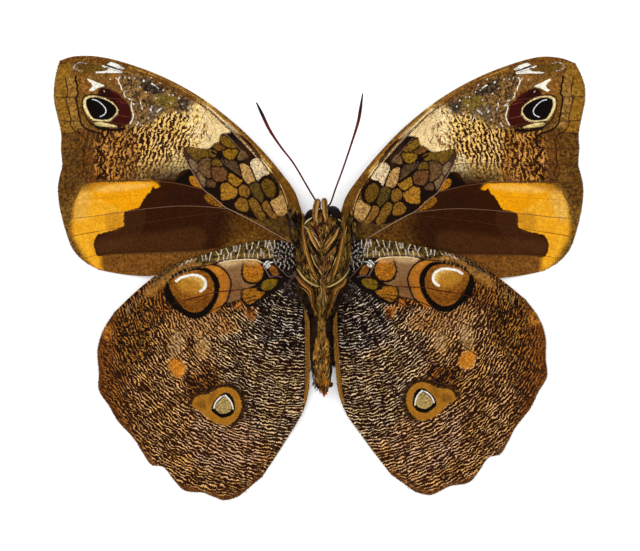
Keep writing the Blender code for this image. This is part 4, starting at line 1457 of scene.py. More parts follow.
def rounded_body(name, centre, radii, cuts):
    """A sphere at its size and place, cut flat by planes across the body."""
    deselect_all()
    bpy.ops.mesh.primitive_uv_sphere_add(segments=72, ring_count=44)
    ob = bpy.context.object
    ob.name = name
    points = coordinates(ob.data)[:, (0, 2, 1)] * (1, 1, -1)
    move_points(ob.data, (points * radii + centre) * MM)
    bpy.ops.object.mode_set(mode="EDIT")
    for y, way in cuts:
        bpy.ops.mesh.select_all(action="SELECT")
        bpy.ops.mesh.bisect(plane_co=(0, y * MM, 0), plane_no=(0, way, 0), use_fill=True,
                            clear_outer=True, threshold=1e-8)
    bpy.ops.mesh.select_all(action="SELECT")
    bpy.ops.mesh.normals_make_consistent(inside=False)
    bpy.ops.object.mode_set(mode="OBJECT")
    bpy.ops.object.shade_smooth_by_angle(angle=math.radians(50))
    return ob


# %% [markdown]
# The skin of the body is dark, with soft patches of olive and rust where the thin hair lets it
# through. A few streaks run along the body.

# %% Body skin finish and the three body pieces
def body_skin(name, dark, pale, rust):
    """Dark skin with soft patches that run along the body."""
    material, tree, shader, place = plain_material(name)
    stretched = add_node(tree, "Mapping", {"Vector": place, "Scale": (1.0, 0.35, 1.0)}).outputs[0]
    broad = noise(tree, stretched, 900.0, 4.0, 0.65)
    fine = noise(tree, stretched, 4200.0, 3.0, 0.6)
    colour = mixed(tree, ramped(tree, broad, 0.42, 0.62), (*linear(dark), 1),
                   (*linear(pale), 1))
    colour = mixed(tree, ramped(tree, fine, 0.56, 0.72), colour, (*linear(rust), 1))
    finish_shader(tree, shader, colour, fine, 0.1 * MM, 0.6, 0.06, 0.6)
    return material


CHEST_SKIN = body_skin("chest_skin", (30, 18, 9), (70, 50, 22), (84, 48, 22))
thorax = rounded_body("thorax_skin", THORAX_CENTRE, THORAX_RADII,
                      [(NECK_Y, 1), (WAIST_Y, -1)])
dress(thorax, CHEST_SKIN, "body_hair", "thorax")

ABDOMEN_SKIN = body_skin("abdomen_skin", (18, 10, 6), (36, 22, 10), (60, 36, 16))


def make_abdomen():
    """Rings joined along the body, pulled in at the grooves between segments."""
    knots = np.array(ABDOMEN_RINGS)
    rings, sides = 90, 40
    steps = along_values(knots, rings)
    points = []
    for y, x, half_width, z, half_height in steps:
        groove = 1 - 0.035 * max(0.0, math.cos((y + 5.4) * 2 * math.pi / 1.75)) ** 6
        angle = np.linspace(0, 2 * math.pi, sides, endpoint=False)
        points.append(np.column_stack((x + half_width * groove * np.cos(angle),
                                       np.full(sides, y),
                                       z + half_height * groove * np.sin(angle))))
    faces = [tuple(reversed(range(sides)))]
    for r in range(rings - 1):
        for k in range(sides):
            n = (k + 1) % sides
            faces.append((r * sides + k, r * sides + n, (r + 1) * sides + n,
                          (r + 1) * sides + k))
    faces.append(tuple(range((rings - 1) * sides, rings * sides)))
    ob = mesh_piece("abdomen_skin", np.vstack(points), faces)
    take_up(ob)
    bpy.ops.object.mode_set(mode="EDIT")
    bpy.ops.mesh.select_all(action="SELECT")
    bpy.ops.mesh.normals_make_consistent(inside=False)
    bpy.ops.object.mode_set(mode="OBJECT")
    bpy.ops.object.shade_smooth_by_angle(angle=math.radians(60))
    return ob


def along_values(knots, count):
    """Rows of numbers at even steps through rows of knots, smoothly."""
    t = np.linspace(0, len(knots) - 1, count)
    i = np.clip(t.astype(int), 0, len(knots) - 2)
    s = (t - i)[:, None]
    return batten(knots[np.maximum(i - 1, 0)], knots[i], knots[i + 1],
                  knots[np.minimum(i + 2, len(knots) - 1)], s)


abdomen = make_abdomen()
dress(abdomen, ABDOMEN_SKIN, "body_hair", "abdomen")

# %% [markdown]
# ## Hair
# Hair gives the body its look. Blender's particle hair would not survive an export, so each
# hair is a real mesh: a three-sided strand of two short prisms and a tip that bends along its
# length. One function lays all strands of a tuft from their roots, directions and lengths.

# %% One function for all hair
STRAND_STEPS = np.array([0.0, 0.4, 0.75])
STRAND_WIDTHS = np.array([1.0, 0.85, 0.55])


def hair(name, roots, ways, lengths, radius, tints, droop=0.35):
    """A mesh of strands: roots and unit directions in millimetres, one tint for each."""
    n = len(roots)
    ways = unit(ways)
    side = unit(np.cross(ways, (0, 0, 1)))
    up = np.cross(side, ways)
    points = []
    for step, width in zip(STRAND_STEPS, STRAND_WIDTHS):
        centre = roots + ways * (lengths * step)[:, None]
        centre[:, 2] -= droop * lengths * step ** 2
        for k in range(3):
            angle = 2 * math.pi * k / 3 + math.pi / 2
            points.append(centre + (side * math.cos(angle) + up * math.sin(angle))
                          * radius * width)
    tip = roots + ways * lengths[:, None]
    tip[:, 2] -= droop * lengths
    points.append(tip)
    points = np.stack(points, axis=1).reshape(-1, 3)
    strand = [(0, 1, 2)]
    for ring in (0, 3):
        strand += [(ring + a, ring + 3 + a, ring + 3 + b, ring + b)
                   for a, b in ((0, 1), (1, 2), (2, 0))]
    strand += [(6, 9, 7), (7, 9, 8), (8, 9, 6)]
    faces = [tuple(10 * i + k for k in face) for i in range(n) for face in strand]
    piece = mesh_piece(name, points, faces)
    piece.data.shade_smooth()
    put_attribute(piece.data, "tint", np.repeat(tints, 10, axis=0))
    return piece


def random_tints(palette, count, spread=0.25):
    """A colour for each strand, chosen from a short palette and varied in tone."""
    chosen = np.array([linear(rgb) for rgb in palette])[rng.integers(0, len(palette), count)]
    return chosen * rng.uniform(1 - spread, 1 + spread, count)[:, None]


HAIR_SKIN = tinted_material("hair", 0.6, 0.06, 0.6, spots=5000.0)
DENSITY = 1.0


def scatter_in(outline, count):
    """Random plan points in millimetres inside an outline in drawing units."""
    line = closed_curve(places_in(outline))
    low, high = line.min(0), line.max(0)
    found = np.empty((0, 2))
    while len(found) < count:
        trial = rng.uniform(low, high, (count * 2, 2))
        found = np.vstack((found, trial[is_inside(trial, line)]))
    return from_drawing(found[:count])


def fur(name, outline, count, palette, toward, length, top=thorax_top, lift=0.2,
        radius=0.028, scatter=0.3, clump=14, slot="body_hair"):
    """Fur that grows in small locks from an outline, combed towards a plan point."""
    count = int(count * DENSITY)
    plan = scatter_in(outline, count)
    centres = plan[rng.integers(0, count, count // clump + 1)]
    lock = nearest_row(plan, centres)
    flat = unit(from_drawing([toward])[0] - centres)
    flat += rng.normal(0, scatter, flat.shape)
    flat = flat[lock] + rng.normal(0, 0.1, plan.shape)
    flat = unit(flat + (centres[lock] - plan) * 0.5)
    height = top(plan[:, 0], plan[:, 1])
    ahead = plan + flat * 0.4
    slope = np.clip((top(ahead[:, 0], ahead[:, 1]) - height) / 0.4, -1.5, 1.5)
    ways = np.column_stack((flat, slope + lift + rng.normal(0, 0.1, count)))
    tints = random_tints(palette, len(centres), 0.2)[lock]
    tints = tints * rng.choice((0.45, 0.8, 1.2, 2.0), count)[:, None]
    piece = hair(name, np.column_stack((plan, height - 0.02)), ways,
                 rng.uniform(*length, count), radius, tints)
    dress(piece, HAIR_SKIN, slot)


# %% [markdown]
# The chest has several coats: olive-brown fur all over, and longer strands that lead down to a
# point between the hind legs. The locks differ in tone, which draws the streaks of the chest.

# %% Chest fur
OLIVE = [(146, 116, 48), (104, 78, 30), (172, 136, 62), (64, 44, 18), (34, 20, 10)]
RUST = [(140, 90, 40), (98, 58, 24), (172, 118, 56), (46, 24, 12)]
GOLD = [(168, 122, 48), (120, 80, 30), (206, 158, 80), (70, 44, 18)]
DARK = [(30, 17, 9), (20, 11, 6), (52, 32, 16)]
PINK = [(156, 108, 68), (112, 74, 44), (70, 42, 24)]

fur("face_fur", "303,222 313,216 331,214 341,222 344,240 334,250 310,250 300,240", 4600,
    OLIVE + RUST + DARK, (323, 290), (0.7, 1.3))
fur("breast_fur", "299,240 346,240 349,266 338,284 322,290 306,283 296,264", 6000,
    OLIVE + RUST + DARK, (322, 312), (0.8, 1.5))
fur("breast_middle", "319,258 331,258 331,276 325,290 319,278", 500, PINK + RUST, (324, 320),
    (0.7, 1.2), lift=0.35)
fur("chest_glints", "304,226 342,226 345,262 336,282 322,288 308,280 300,262", 420,
    [(222, 178, 96), (240, 208, 136), (196, 140, 62)], (323, 300), (0.5, 1.0), lift=0.35, clump=3)
fur("belly_fur", "312,286 334,286 332,302 325,315 317,315 312,302", 3000, OLIVE + GOLD + DARK,
    (323, 330), (1.0, 1.9), scatter=0.2)
fur("flank_left", "300,277 312,290 314,313 308,312 303,294", 1100, DARK, (312, 340), (0.6, 1.1))
fur("flank_right", "347,277 334,290 330,313 336,312 343,294", 1100, DARK, (330, 340), (0.6, 1.1))
fur("shoulder_left", "299,214 306,218 306,262 298,266 297,240", 1100, OLIVE + DARK + GOLD[1:2],
    (308, 300), (0.9, 1.8))
fur("shoulder_right", "349,214 342,218 341,262 349,266 351,240", 1100, OLIVE + DARK + GOLD[1:2],
    (338, 300), (0.9, 1.8))


def wing_top(side):
    """Height of the higher wing of one side at plan points."""
    def top(x, y):
        plan = np.column_stack((np.ravel(x), np.ravel(y)))
        return np.maximum(seat("forewing_" + side, plan), seat("hindwing_" + side, plan))
    return top


LILAC = [(60, 40, 32), (104, 82, 76), (44, 26, 16)]
fur("wing_root_left", "293,208 299,213 303,236 302,252 295,246 290,230", 700,
    DARK + LILAC + OLIVE, (304, 268), (0.9, 1.9), wing_top("left"), 0.1)
fur("wing_root_right", "353,210 348,213 344,236 345,252 352,246 357,230", 700,
    DARK + LILAC + OLIVE, (343, 268), (0.9, 1.9), wing_top("right"), 0.1)


# %% [markdown]
# The pale arcs and the lines that frame the legs are drawn as locks of long hair laid side by
# side; the nearly black ones, under the arcs and along the legs, are painted shade in the creases
# between the parts. Each is drawn as seven slim tubes along one line, drawn together at both
# ends.

# %% Locks and lines of painted crease shade laid along lines
STRANDS_IN_LOCK = 7
# Each lock: half width in millimetres, colour, line.
# The nearly black rows (#100805, #0e0704, #180a06) are painted shade: the shadow under the two
# pale arcs and in the creases beside the fore- and midlegs.
CHEST_LOCKS_AND_PAINTED_SHADE = rows_in("""
.145 #e6ca74: 296.2,268 298.3,270.6 301.8,275.8 306.1,280.1 311.3,283.6 316.5,285.8 320.8,286.6
.145 #e6ca74: 348.8,269.6 346,274.5 341.7,279.3 336.5,283.2 330.4,286.2 326.1,286.8
.1 #100805: 296,271 300.4,278.4 306,283.6 312,287.2 319,289.4
.1 #100805: 348.6,273 343.4,280 337,285.6 330,288.8 326,289.4
.09 #debc70: 309.6,251.5 311.3,255.9 313.5,261.1 315.7,265.4 318.3,268.7
.08 #debc70: 318.7,269.7 322.2,274.9
.11 #e2c068: 339.1,251.5 337.6,256 335.2,260.2 333,265.4 329,268.4
.13 #0e0704: 308.6,244 310,254 313.4,264 317.6,272 321,278
.13 #0e0704: 337.6,246 334.6,258 331,268 327.6,275 325,279
.08 #ecce8c: 303.6,225.6 307,229.4 309.6,235 312.2,240.2
.07 #ecce8c: 313.1,235 317,240.8 320.4,247.2
.09 #c49252: 309.4,229.6 313,232.4 316.5,236.4
.09 #ecce8c: 339.3,227.6 336.9,232.4 334.8,237.6 329.6,242.8 325.2,248
.07 #d6ac5c: 332.6,235.9 328.7,240.2 324.3,245.9
.16 #0e0704: 308.6,240 312,246 317,252 321,256.6
.16 #0e0704: 338.4,236 335.4,243 330,250 325.4,255
.1 #180a06: 310,224 313.6,229 317.4,235 320.6,242.6
.1 #180a06: 335.4,226 330.6,232 326.4,238.6 323.6,244
.1 #762c16: 314,220 316.4,226 318,232 318.6,237
.1 #965c28: 329,219 330,224 327.6,230
.24 #b0842c: 304.4,246 305.6,252 308.4,259
.16 #80501e: 315.6,213.5 315,219 316.6,226
.1 #ce9e54: 317.4,214 317,219 318,224
.16 #603416: 326,213 326.6,218 327.4,225
.08 #be8c46: 324.4,213.5 324.8,218 325.4,223
.12 #5c1c0e: 304.4,232 306.2,242 308,250 310.6,260
.16 #8c6222: 303.2,216 302.8,226 303.6,238 303.4,248
.18 #8c6222: 345.2,220 344,230 343.6,240 342,252 338.6,266
.08 #cea054: 347,226 345,234 345.4,242
.07 #cea662: 309.6,273.2 312.4,277.4 315.7,281.4
.12 #966028: 297.6,275.6 301,281 306.4,286.2
.07 #c89646: 299.6,287 305,290 309,295 310.2,302
.07 #c89646: 344.4,284 339.6,289 336.4,295 334.6,302
""")
for k in range(11):
    lean = (k - 5) / 5
    CHEST_LOCKS_AND_PAINTED_SHADE.append((0.05, ((176, 132, 76), (120, 84, 40), (206, 170, 104))[k % 3],
                  [(323 + 1.2 * lean, 289), (323 + 3.6 * lean, 297 - abs(lean)),
                   (323 + 5.4 * lean, 306 - 2 * abs(lean))]))


def lock_tubes(width, line, top, rise=0.06):
    """The tubes of one lock: rows of x, y, z, radius in millimetres."""
    plan = from_drawing(line)
    t = np.linspace(0, 1, max(10, 4 * len(plan)))
    middle = along(plan, np.clip(t, 0, 0.9999))
    normal = directions(middle)[1]
    taper = np.sqrt(np.sin(math.pi * np.clip(t, 0.015, 0.985)))
    tubes = []
    for k in range(STRANDS_IN_LOCK):
        share = 2 * k / (STRANDS_IN_LOCK - 1) - 1
        sway = share + 0.12 * np.sin(7 * t + 2.1 * k)
        places = middle + normal * (sway * 0.8 * width * taper)[:, None]
        z = (top(places[:, 0], places[:, 1]) + rise
             + width * taper * math.sqrt(1 - 0.8 * share ** 2))
        tubes.append(np.column_stack((places, z, 0.32 * width * taper)))
    return tubes


def lock_piece(name, locks, top, slot):
    """All locks of one part as one mesh."""
    tubes, colours = [], []
    for width, rgb, line in locks:
        for tube in lock_tubes(width, line, top):
            tubes.append(tube)
            colours.append(np.array(rgb) * rng.uniform(0.7, 1.08))
    piece = tube_mesh(name, tubes, sides=1)
    tint_by_nearest(piece.data, tubes, colours)
    dress(piece, HAIR_SKIN, slot)


# The chest's locks and its nearly black lines of painted crease shade, as one mesh.
lock_piece("chest_locks_and_painted_shade", CHEST_LOCKS_AND_PAINTED_SHADE, thorax_top, "body_hair")

# %% [markdown]
# ## Abdomen hair
# The sides are dark. A golden-brown strip runs down the middle; behind its smooth front part
# it breaks into overlapping locks, brightest on their tips. The locks grow longer to the tail.


# %% Abdomen hair
def abdomen_top(x, y):
    """Height of the abdomen's upper side at plan points."""
    knots = np.array(ABDOMEN_RINGS)[::-1]
    y = np.asarray(y, float)
    mid, half, z, rise = (np.interp(y, knots[:, 0], knots[:, k]) for k in (1, 2, 3, 4))
    inside = np.maximum(1 - ((np.asarray(x) - mid) / half) ** 2, 0.0)
    return z + rise * np.sqrt(inside)


fur("belly_sides", "311.5,312 331.6,312 332,350 331.6,372 328,388 316,386 310.8,370 310.4,350",
    3200, DARK, (323, 440), (0.6, 1.2), abdomen_top, 0.12)
fur("belly_strip", "319,313 325,313 325.5,326 325,338 318,340 317.5,328", 1500, [(154, 112, 46),
    (128, 90, 34), (184, 140, 66)], (321.5, 420), (0.6, 1.0), abdomen_top, 0.14, scatter=0.1)
fur("belly_locks", "317,336 326,336 329.5,352 330,372 328,386 318,386 313.5,370 313,354", 2700,
    [(176, 126, 46), (126, 84, 30), (66, 38, 14), (152, 88, 32), (44, 26, 10), (216, 164, 72)],
    (323, 430), (0.6, 1.2), abdomen_top, 0.3, scatter=0.22, clump=10)
fur("belly_glints", "316,338 327,338 329,356 329,376 318,378 315,360", 240, [(250, 226, 150),
    (236, 196, 112)], (323, 430), (0.35, 0.7), abdomen_top, 0.45, scatter=0.3, clump=2)
# Dark hair along the hindwings' inner edges closes the gap beside the abdomen: painted shade, for
# the shadow in the folds between the wings and the abdomen.
for side, outline in (
        ("left", "294,274 306,280 313,296 313,352 311,361 307.5,354 303,320 296,302"),
        ("right", "330,296 341,296 337.5,352 334.5,363 331,354")):
    fur("painted_shade_fringe_" + side, outline, 2600, DARK, (323, 520), (0.6, 1.0),
        lambda x, y: np.full(np.shape(x), 1.5), 0.0, 0.05)
fur("tail_fur", "318,378 329,378 328,388 324,394 320,388", 700, [(150, 88, 24),
    (214, 112, 26), (96, 50, 18), (60, 32, 12)], (325, 430), (0.5, 0.9), abdomen_top, 0.25,
    clump=6)
fur("tail_spot", "321,379 328,378 328,383 322,384", 140, [(236, 128, 32), (204, 100, 26)],
    (325, 420), (0.4, 0.7), abdomen_top, 0.4, clump=4)
for label, (x, y), reach in (("left", (0.1, -16.9), -1), ("right", (1.5, -16.7), 1)):
    count = int(200 * max(DENSITY, 0.6))
    spin = rng.uniform(0, 2 * math.pi, count)
    roots = np.column_stack((x + 0.35 * np.cos(spin), y + 0.3 * np.sin(spin),
                             2.4 + rng.uniform(-0.2, 0.35, count)))
    ways = np.column_stack((reach * rng.uniform(0.2, 0.9, count), rng.uniform(-1, -0.1, count),
                            rng.uniform(-0.2, 0.3, count)))
    piece = hair(f"clasper_tuft_{label}", roots, ways, rng.uniform(0.3, 0.6, count), 0.05,
                 random_tints(DARK + RUST[:1], count))
    dress(piece, HAIR_SKIN, "body_hair")

# %% [markdown]
# ## Legs
# A folded leg is a thick thigh, a thinner shin and a jointed foot, all clad in scales. Each is a
# curve with a round bevel whose radius swells and narrows, made a mesh, with rows of short scales
# along it: pale along one side, and darkened at both rims by painted shade where the round leg
# turns down to the body. The plan and the radii are the CAD's.

# %% Legs
LEGS = {
    "foreleg_left": ([(-1.9, 8.0), (-1.1, 6.1), (-0.2, 4.5)], (0.2, 0.3, 0.22)),
    "foreleg_right": ([(2.95, 7.7), (2.4, 6.5), (1.1, 4.8)], (0.2, 0.3, 0.22)),
    "midleg_left": ([(-2.45, 6.9), (-1.9, 3.9), (-1.2, 1.7), (-0.3, -0.3)],
                    (0.2, 0.28, 0.32, 0.22)),
    "midleg_right": ([(3.7, 6.6), (3.2, 3.9), (2.65, 1.7), (2.0, -0.2)],
                     (0.2, 0.28, 0.32, 0.22)),
    "hindleg_left": ([(-3.6, 0.3), (-2.6, -0.9), (-1.5, -1.8), (-1.1, -2.9), (-1.0, -4.2),
                      (-0.2, -6.0)], (0.26, 0.4, 0.42, 0.36, 0.3, 0.16)),
    "hindleg_right": ([(4.3, 0.0), (3.6, -1.1), (2.55, -1.8), (2.2, -2.9), (1.9, -4.3),
                       (1.2, -5.8)], (0.26, 0.4, 0.42, 0.36, 0.3, 0.16)),
}
LEG_COLOURS = {"foreleg": ((150, 98, 34), (236, 196, 116)),
               "midleg": ((120, 78, 24), (220, 164, 76)),
               "hindleg": ((104, 64, 20), (190, 134, 58))}
LEG_SKIN = tinted_material("leg_scales", 0.6, 0.08, 1.3, spots=3200.0, bump_depth=0.08 * MM)


def leg_tint(across, base, edge):
    """Colour across a leg, from -1 at the inner side to 1: one pale stripe, and dark rims that
    are painted shade where the round leg turns down to the body.
    """
    pale = np.exp(-((across - 0.5) / 0.22) ** 2)[:, None]
    rim = smooth_step((np.abs(across) - 0.6) / 0.35)[:, None]
    tint = linear(base) * (1 - pale) + linear(edge) * pale
    # Painted shade: both rims are darkened towards near black (40, 18, 8), where the leg turns
    # down to the body.
    return tint * (1 - 0.8 * rim) + linear((40, 18, 8)) * 0.8 * rim


def leg_piece(name, plan, radii):
    """One leg and the short scales along it."""
    base, edge = LEG_COLOURS[name.split("_")[0]]
    steps = 46
    t = np.linspace(0, 1, steps)
    line = along(plan, np.clip(t, 0, 0.9999))
    width = np.interp(t, np.linspace(0, 1, len(radii)), radii)
    joints = 1 - 0.16 * np.exp(-((t[:, None] - np.array([0.36, 0.7, 0.82, 0.92])) / 0.012)
                               ** 2).sum(1)
    ends = np.sqrt(np.clip(np.minimum(t, 1 - t) / 0.08, 0.02, 1))
    width = width * np.clip(joints, 0.6, 1) * ends
    z = thorax_top(line[:, 0], line[:, 1]) + width + 0.05
    leg = tube_mesh(name + "_skin", [np.column_stack((line, z, width))], sides=5)
    points = coordinates(leg.data) / MM
    nearest = nearest_row(points[:, :2], line)
    tangent, normal = directions(line)
    outer = -1 if name.endswith("left") else 1
    offset = ((points[:, :2] - line[nearest]) * normal[nearest]).sum(1)
    put_attribute(leg.data, "tint", leg_tint(outer * offset / width[nearest], base, edge))
    dress(leg, LEG_SKIN, "leg_scales", name)
    count = int(900 * DENSITY) + 60
    k = rng.integers(2, steps - 3, count)
    turn = rng.uniform(0.1, math.pi - 0.1, count)
    roots = np.column_stack((line[k] + normal[k] * (width[k] * np.cos(turn))[:, None] * 0.95,
                             z[k] + width[k] * np.sin(turn) * 0.95))
    ways = np.column_stack((tangent[k] + normal[k] * (0.25 * np.cos(turn))[:, None],
                            0.22 * np.sin(turn)))
    # The scales take the same colours, the painted shade at the rims included.
    tints = leg_tint(outer * np.cos(turn), base, edge)
    tints = tints * rng.choice((0.2, 0.55, 1.1, 2.0), count)[:, None]
    scales = hair(name + "_scales", roots, ways, rng.uniform(0.2, 0.42, count), 0.03, tints)
    dress(scales, HAIR_SKIN, "leg_scales")


for name, (plan, radii) in LEGS.items():
    leg_piece(name, plan, radii)

# %% [markdown]
# ## Head, eyes, palps, tongue and antennae
# The head is a rounded body like the thorax, with the sockets left to the CAD's own eyes, which
# already have the right shape and only need a better surface. The palps are furry, the tongue
# is a coil between them, and each antenna is a chain of small rings with a slim club.

# %% Head
head = rounded_body("head_skin", HEAD_CENTRE, HEAD_RADII, [(HEAD_BACK_Y, -1)])
dress(head, CHEST_SKIN, "body_hair", "head")


def brow_top(x, y):
    """Height of the higher of head and thorax."""
    return np.maximum(head_top(x, y), thorax_top(x, y))


fur("head_fur", "308,222 313,216 322,212 331,214 338,221 336,226 310,227", 1400,
    OLIVE + RUST + DARK, (322, 262), (0.5, 1.1), head_top, 0.5)

# %% [markdown]
# A compound eye is thousands of tiny lenses. Fine Voronoi cells raise them in the bump, over a
# nearly black skin. Each eye has a rim of cream hair.

# %% Eyes
EYE, tree, shader, place = plain_material("eye_facets")
facets = add_node(tree, "TexVoronoi", {"Vector": place, "Scale": 9000.0, "Randomness": 0.25})
mottle = noise(tree, place, 700.0, 2.0, 0.5)
colour = mixed(tree, ramped(tree, mottle, 0.35, 0.65), (*linear((6, 4, 3)), 1),
               (*linear((24, 13, 10)), 1))
finish_shader(tree, shader, colour, facets.outputs["Distance"], -0.04 * MM, 0.45, 0.06)
for name in ("eye_left", "eye_right"):
    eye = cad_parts[name]
    eye.data.materials.clear()
    eye.data.materials.append(EYE)
RIMS = rows_in("""
.1 #f0dc9c: 304.6,224.6 307,221.2 309.6,219.3 312.4,217.7
.1 #f0dc9c: 330.2,215.2 333.9,216.6 338.2,219 341,221.6
""")
lock_piece("eye_rims", RIMS, lambda x, y: brow_top(x, y) + 0.15, "body_hair")

# %% [markdown]
# A palp is a feeler clad in combed fur, thick in the middle and pointed at both ends. A tube
# with changing radius gives the form, and short hair on it gives the soft outline.

# %% Palps
# Rings from root to tip: x, y, z, radius.
PALPS = {
    "palp_left": "-.45,8.5,6.1,.06 -.6,9.1,6.2,.24 -.66,10,6.3,.44 -.5,11.2,5.95,.48 "
                 "-.32,11.8,5.5,.44 -.26,12.12,5.2,.3 -.24,12.27,5,.08",
    "palp_right": "1.15,8.6,6.1,.06 1.1,9.2,6.2,.22 .95,10.1,6.3,.42 .84,11.3,5.95,.46 "
                  ".8,11.9,5.5,.42 .78,12.22,5.2,.3 .76,12.37,5,.08",
}
# The brown of the stripe and of the rims is painted shade on the round sides of the palps.
PALE_FUR, PALP_SHADE_FUR = (214, 160, 82), (66, 30, 12)
PALP_SHADE_PLACES = {"palp_left": -0.35, "palp_right": 0.3}


def palp_tint(share, place, tone):
    """Colour across a palp: cream, with painted shade in one brown stripe on its outer side and
    in dark rims on both sides.
    """
    # Painted shade: a brown stripe on the outer side, and both rims darkened.
    stripe = np.exp(-((share - place) / 0.42) ** 2)
    stripe = np.maximum(stripe, smooth_step((np.abs(share) - 0.72) / 0.3))[:, None]
    return (linear(PALE_FUR) * (1 - stripe) + linear(PALP_SHADE_FUR) * stripe) * tone


for name, knots in PALPS.items():
    rows = along_values(np.array(places_in(knots)), 60)
    palp = tube_mesh(name + "_skin", [rows], sides=5)
    points = coordinates(palp.data) / MM
    nearest = nearest_row(points[:, 1:3], rows[:, 1:3])
    share = (points[:, 0] - rows[nearest, 0]) / rows[nearest, 3]
    put_attribute(palp.data, "tint", palp_tint(share, PALP_SHADE_PLACES[name], 1.0))
    dress(palp, LEG_SKIN, "palp_scales", name)
    count = int(900 * DENSITY) + 80
    k = rng.integers(4, len(rows) - 3, count)
    turn = rng.uniform(0, math.pi, count)
    roots = np.column_stack((rows[k, 0] + rows[k, 3] * np.cos(turn) * 0.95, rows[k, 1],
                             rows[k, 2] + rows[k, 3] * np.sin(turn) * 0.95))
    ways = np.column_stack((0.2 * np.cos(turn) + rng.normal(0, 0.1, count),
                            np.full(count, 1.0), 0.2 * np.sin(turn)))
    # The fur takes the same colours, the painted shade included.
    tints = palp_tint(np.cos(turn), PALP_SHADE_PLACES[name],
                      rng.choice((0.3, 0.75, 1.2), count)[:, None])
    coat = hair(name + "_fur", roots, ways, rng.uniform(0.2, 0.4, count), 0.028, tints)
    dress(coat, HAIR_SKIN, "palp_scales")

# %% [markdown]
# The tongue is a tube rolled up like a watch spring. A helix would climb sideways, so a flat
# spiral is laid, with fine rings in its radius.

# %% Tongue
COIL_POINTS = 110
COIL_TURNS = 1.75
COIL_CENTRE = (0.17, 11.55, 5.0)
turns = np.linspace(0, 1, COIL_POINTS)
coil_radius = 0.22 + 0.5 * turns
coil_angle = 2 * math.pi * COIL_TURNS * turns
coil = np.column_stack((np.full(COIL_POINTS, COIL_CENTRE[0]),
                        COIL_CENTRE[1] + coil_radius * np.cos(coil_angle),
                        COIL_CENTRE[2] + coil_radius * np.sin(coil_angle),
                        0.085 + 0.012 * np.cos(np.arange(COIL_POINTS) * math.pi)))
tongue = tube_mesh("tongue_coil", [coil], sides=4)
put_attribute(tongue.data, "tint",
              np.tile(linear((58, 42, 30)), (len(tongue.data.vertices), 1)))
TONGUE_SKIN = tinted_material("tongue_skin", 0.5, 0.12, 0.6)
dress(tongue, TONGUE_SKIN, "antenna_skin", "proboscis")

# %% [markdown]
# An antenna is a chain of rings that ends in a slim club, red in its middle and nearly black at
# both ends. The rings are waves in the radius of one tube.

# %% Antennae
ANTENNAE = {
    "antenna_left": ".08,11.05,3.5,.2 -.62,12.3,3.9,.14 -1.56,13.86,4.3,.14 -4,18,4.9,.15 "
                    "-6.1,20.75,4.9,.17 -7.85,23.4,4.6,.24 -9.1,26,4.2,.26 -9.97,27.8,3.9,.1",
    "antenna_right": ".85,11.05,3.5,.2 1.72,11.75,3.9,.14 2.57,14.1,4.4,.14 3.75,17.3,4.9,.15 "
                     "5.1,21.3,4.9,.17 6.1,24.5,4.6,.24 6.5,26.6,4.3,.26 6.87,29.2,3.9,.1",
}
RING_LENGTH = 0.34
for name, knots in ANTENNAE.items():
    knots = np.array(places_in(knots))
    length = np.linalg.norm(np.diff(knots[:, :3], axis=0), axis=1).sum()
    rows = along_values(knots, int(length / RING_LENGTH * 6))
    run = np.concatenate(([0.0], np.cumsum(np.linalg.norm(np.diff(rows[:, :3], axis=0),
                                                          axis=1))))
    notch = np.abs(((run / RING_LENGTH) % 1) - 0.5) * 2
    rows[:, 3] *= 1.02 - 0.16 * notch ** 4
    antenna = tube_mesh(name + "_shaft", [rows], sides=4)
    points = coordinates(antenna.data) / MM
    nearest = nearest_row(points, rows[:, :3])
    share = (run / run[-1])[nearest]
    red = (smooth_step((share - 0.1) / 0.2) * (1 - smooth_step((share - 0.78) / 0.12)))
    red = (red * (1 - 0.5 * (notch[nearest] ** 4)))[:, None]
    put_attribute(antenna.data, "tint",
                  linear((22, 8, 6)) * (1 - red) + linear((96, 18, 14)) * red)
    dress(antenna, TONGUE_SKIN, "antenna_skin", name)

# %% [markdown]
# ## Floor, light and camera
# The specimen lies on a plain white ground under a wide, soft light, as for a museum
# catalogue. The camera looks straight down from far away with a long lens, so that nothing is
# distorted.

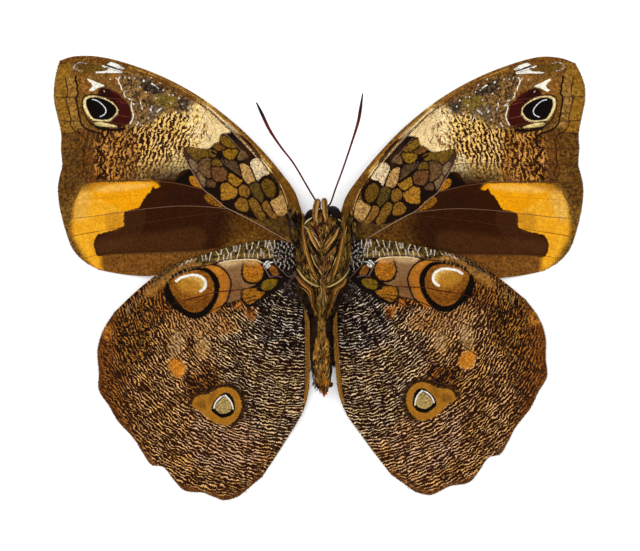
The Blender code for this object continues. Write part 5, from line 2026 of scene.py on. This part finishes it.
# %% Floor
deselect_all()
bpy.ops.mesh.primitive_plane_add(size=3.0, location=(0, 0, -0.00002))
floor = bpy.context.object
floor.name = "white_ground"
PAPER, tree, shader, place = plain_material("white_paper")
grain = noise(tree, place, 300.0, 3.0, 0.5)
colour = mixed(tree, grain, (0.93, 0.93, 0.93, 1), (0.96, 0.96, 0.96, 1))
give(tree, shader, {"Base Color": colour, "Roughness": 0.9, "Specular IOR Level": 0.1,
                    "Emission Color": (1, 1, 1, 1), "Emission Strength": 0.3})
floor.data.materials.append(PAPER)

# %% [markdown]
# A big soft window from the upper left and a weaker fill from the other side keep the shadows
# faint. A sun would throw hard shadows of every hair.

# %% Light and camera
world = bpy.data.worlds.new("soft_room")
scene.world = world
world.use_nodes = True
give(world.node_tree, world.node_tree.nodes["Background"],
     {"Color": (1, 1, 1, 1), "Strength": 0.74})


def soft_lamp(name, place, size, watts):
    """A square soft lamp that looks at the specimen."""
    data = bpy.data.lights.new(name, "AREA")
    data.size = size
    data.energy = watts
    lamp = bpy.data.objects.new(name, data)
    scene.collection.objects.link(lamp)
    lamp.location = place
    lamp.rotation_euler = Vector(place).to_track_quat("Z", "Y").to_euler()


soft_lamp("window_light", (-0.35, 0.45, 0.7), 0.5, 2.3)
soft_lamp("fill_light", (0.5, -0.3, 0.6), 0.6, 0.7)

CAMERA_HEIGHT = 1.5
SENSOR_WIDTH = 36.0         # millimetres
FRAME_WIDTH = 0.1016        # width of the ground that the frame shows
camera_data = bpy.data.cameras.new("catalogue_camera")
camera = bpy.data.objects.new("catalogue_camera", camera_data)
scene.collection.objects.link(camera)
camera.location = (0.00011, 0.00037, CAMERA_HEIGHT)
camera_data.sensor_width = SENSOR_WIDTH
camera_data.sensor_fit = "HORIZONTAL"
camera_data.lens = SENSOR_WIDTH * (CAMERA_HEIGHT - 0.001) / FRAME_WIDTH
camera_data.clip_end = 20.0
scene.camera = camera
scene.view_settings.view_transform = "Standard"
print("lens", round(camera_data.lens, 1), "mm")
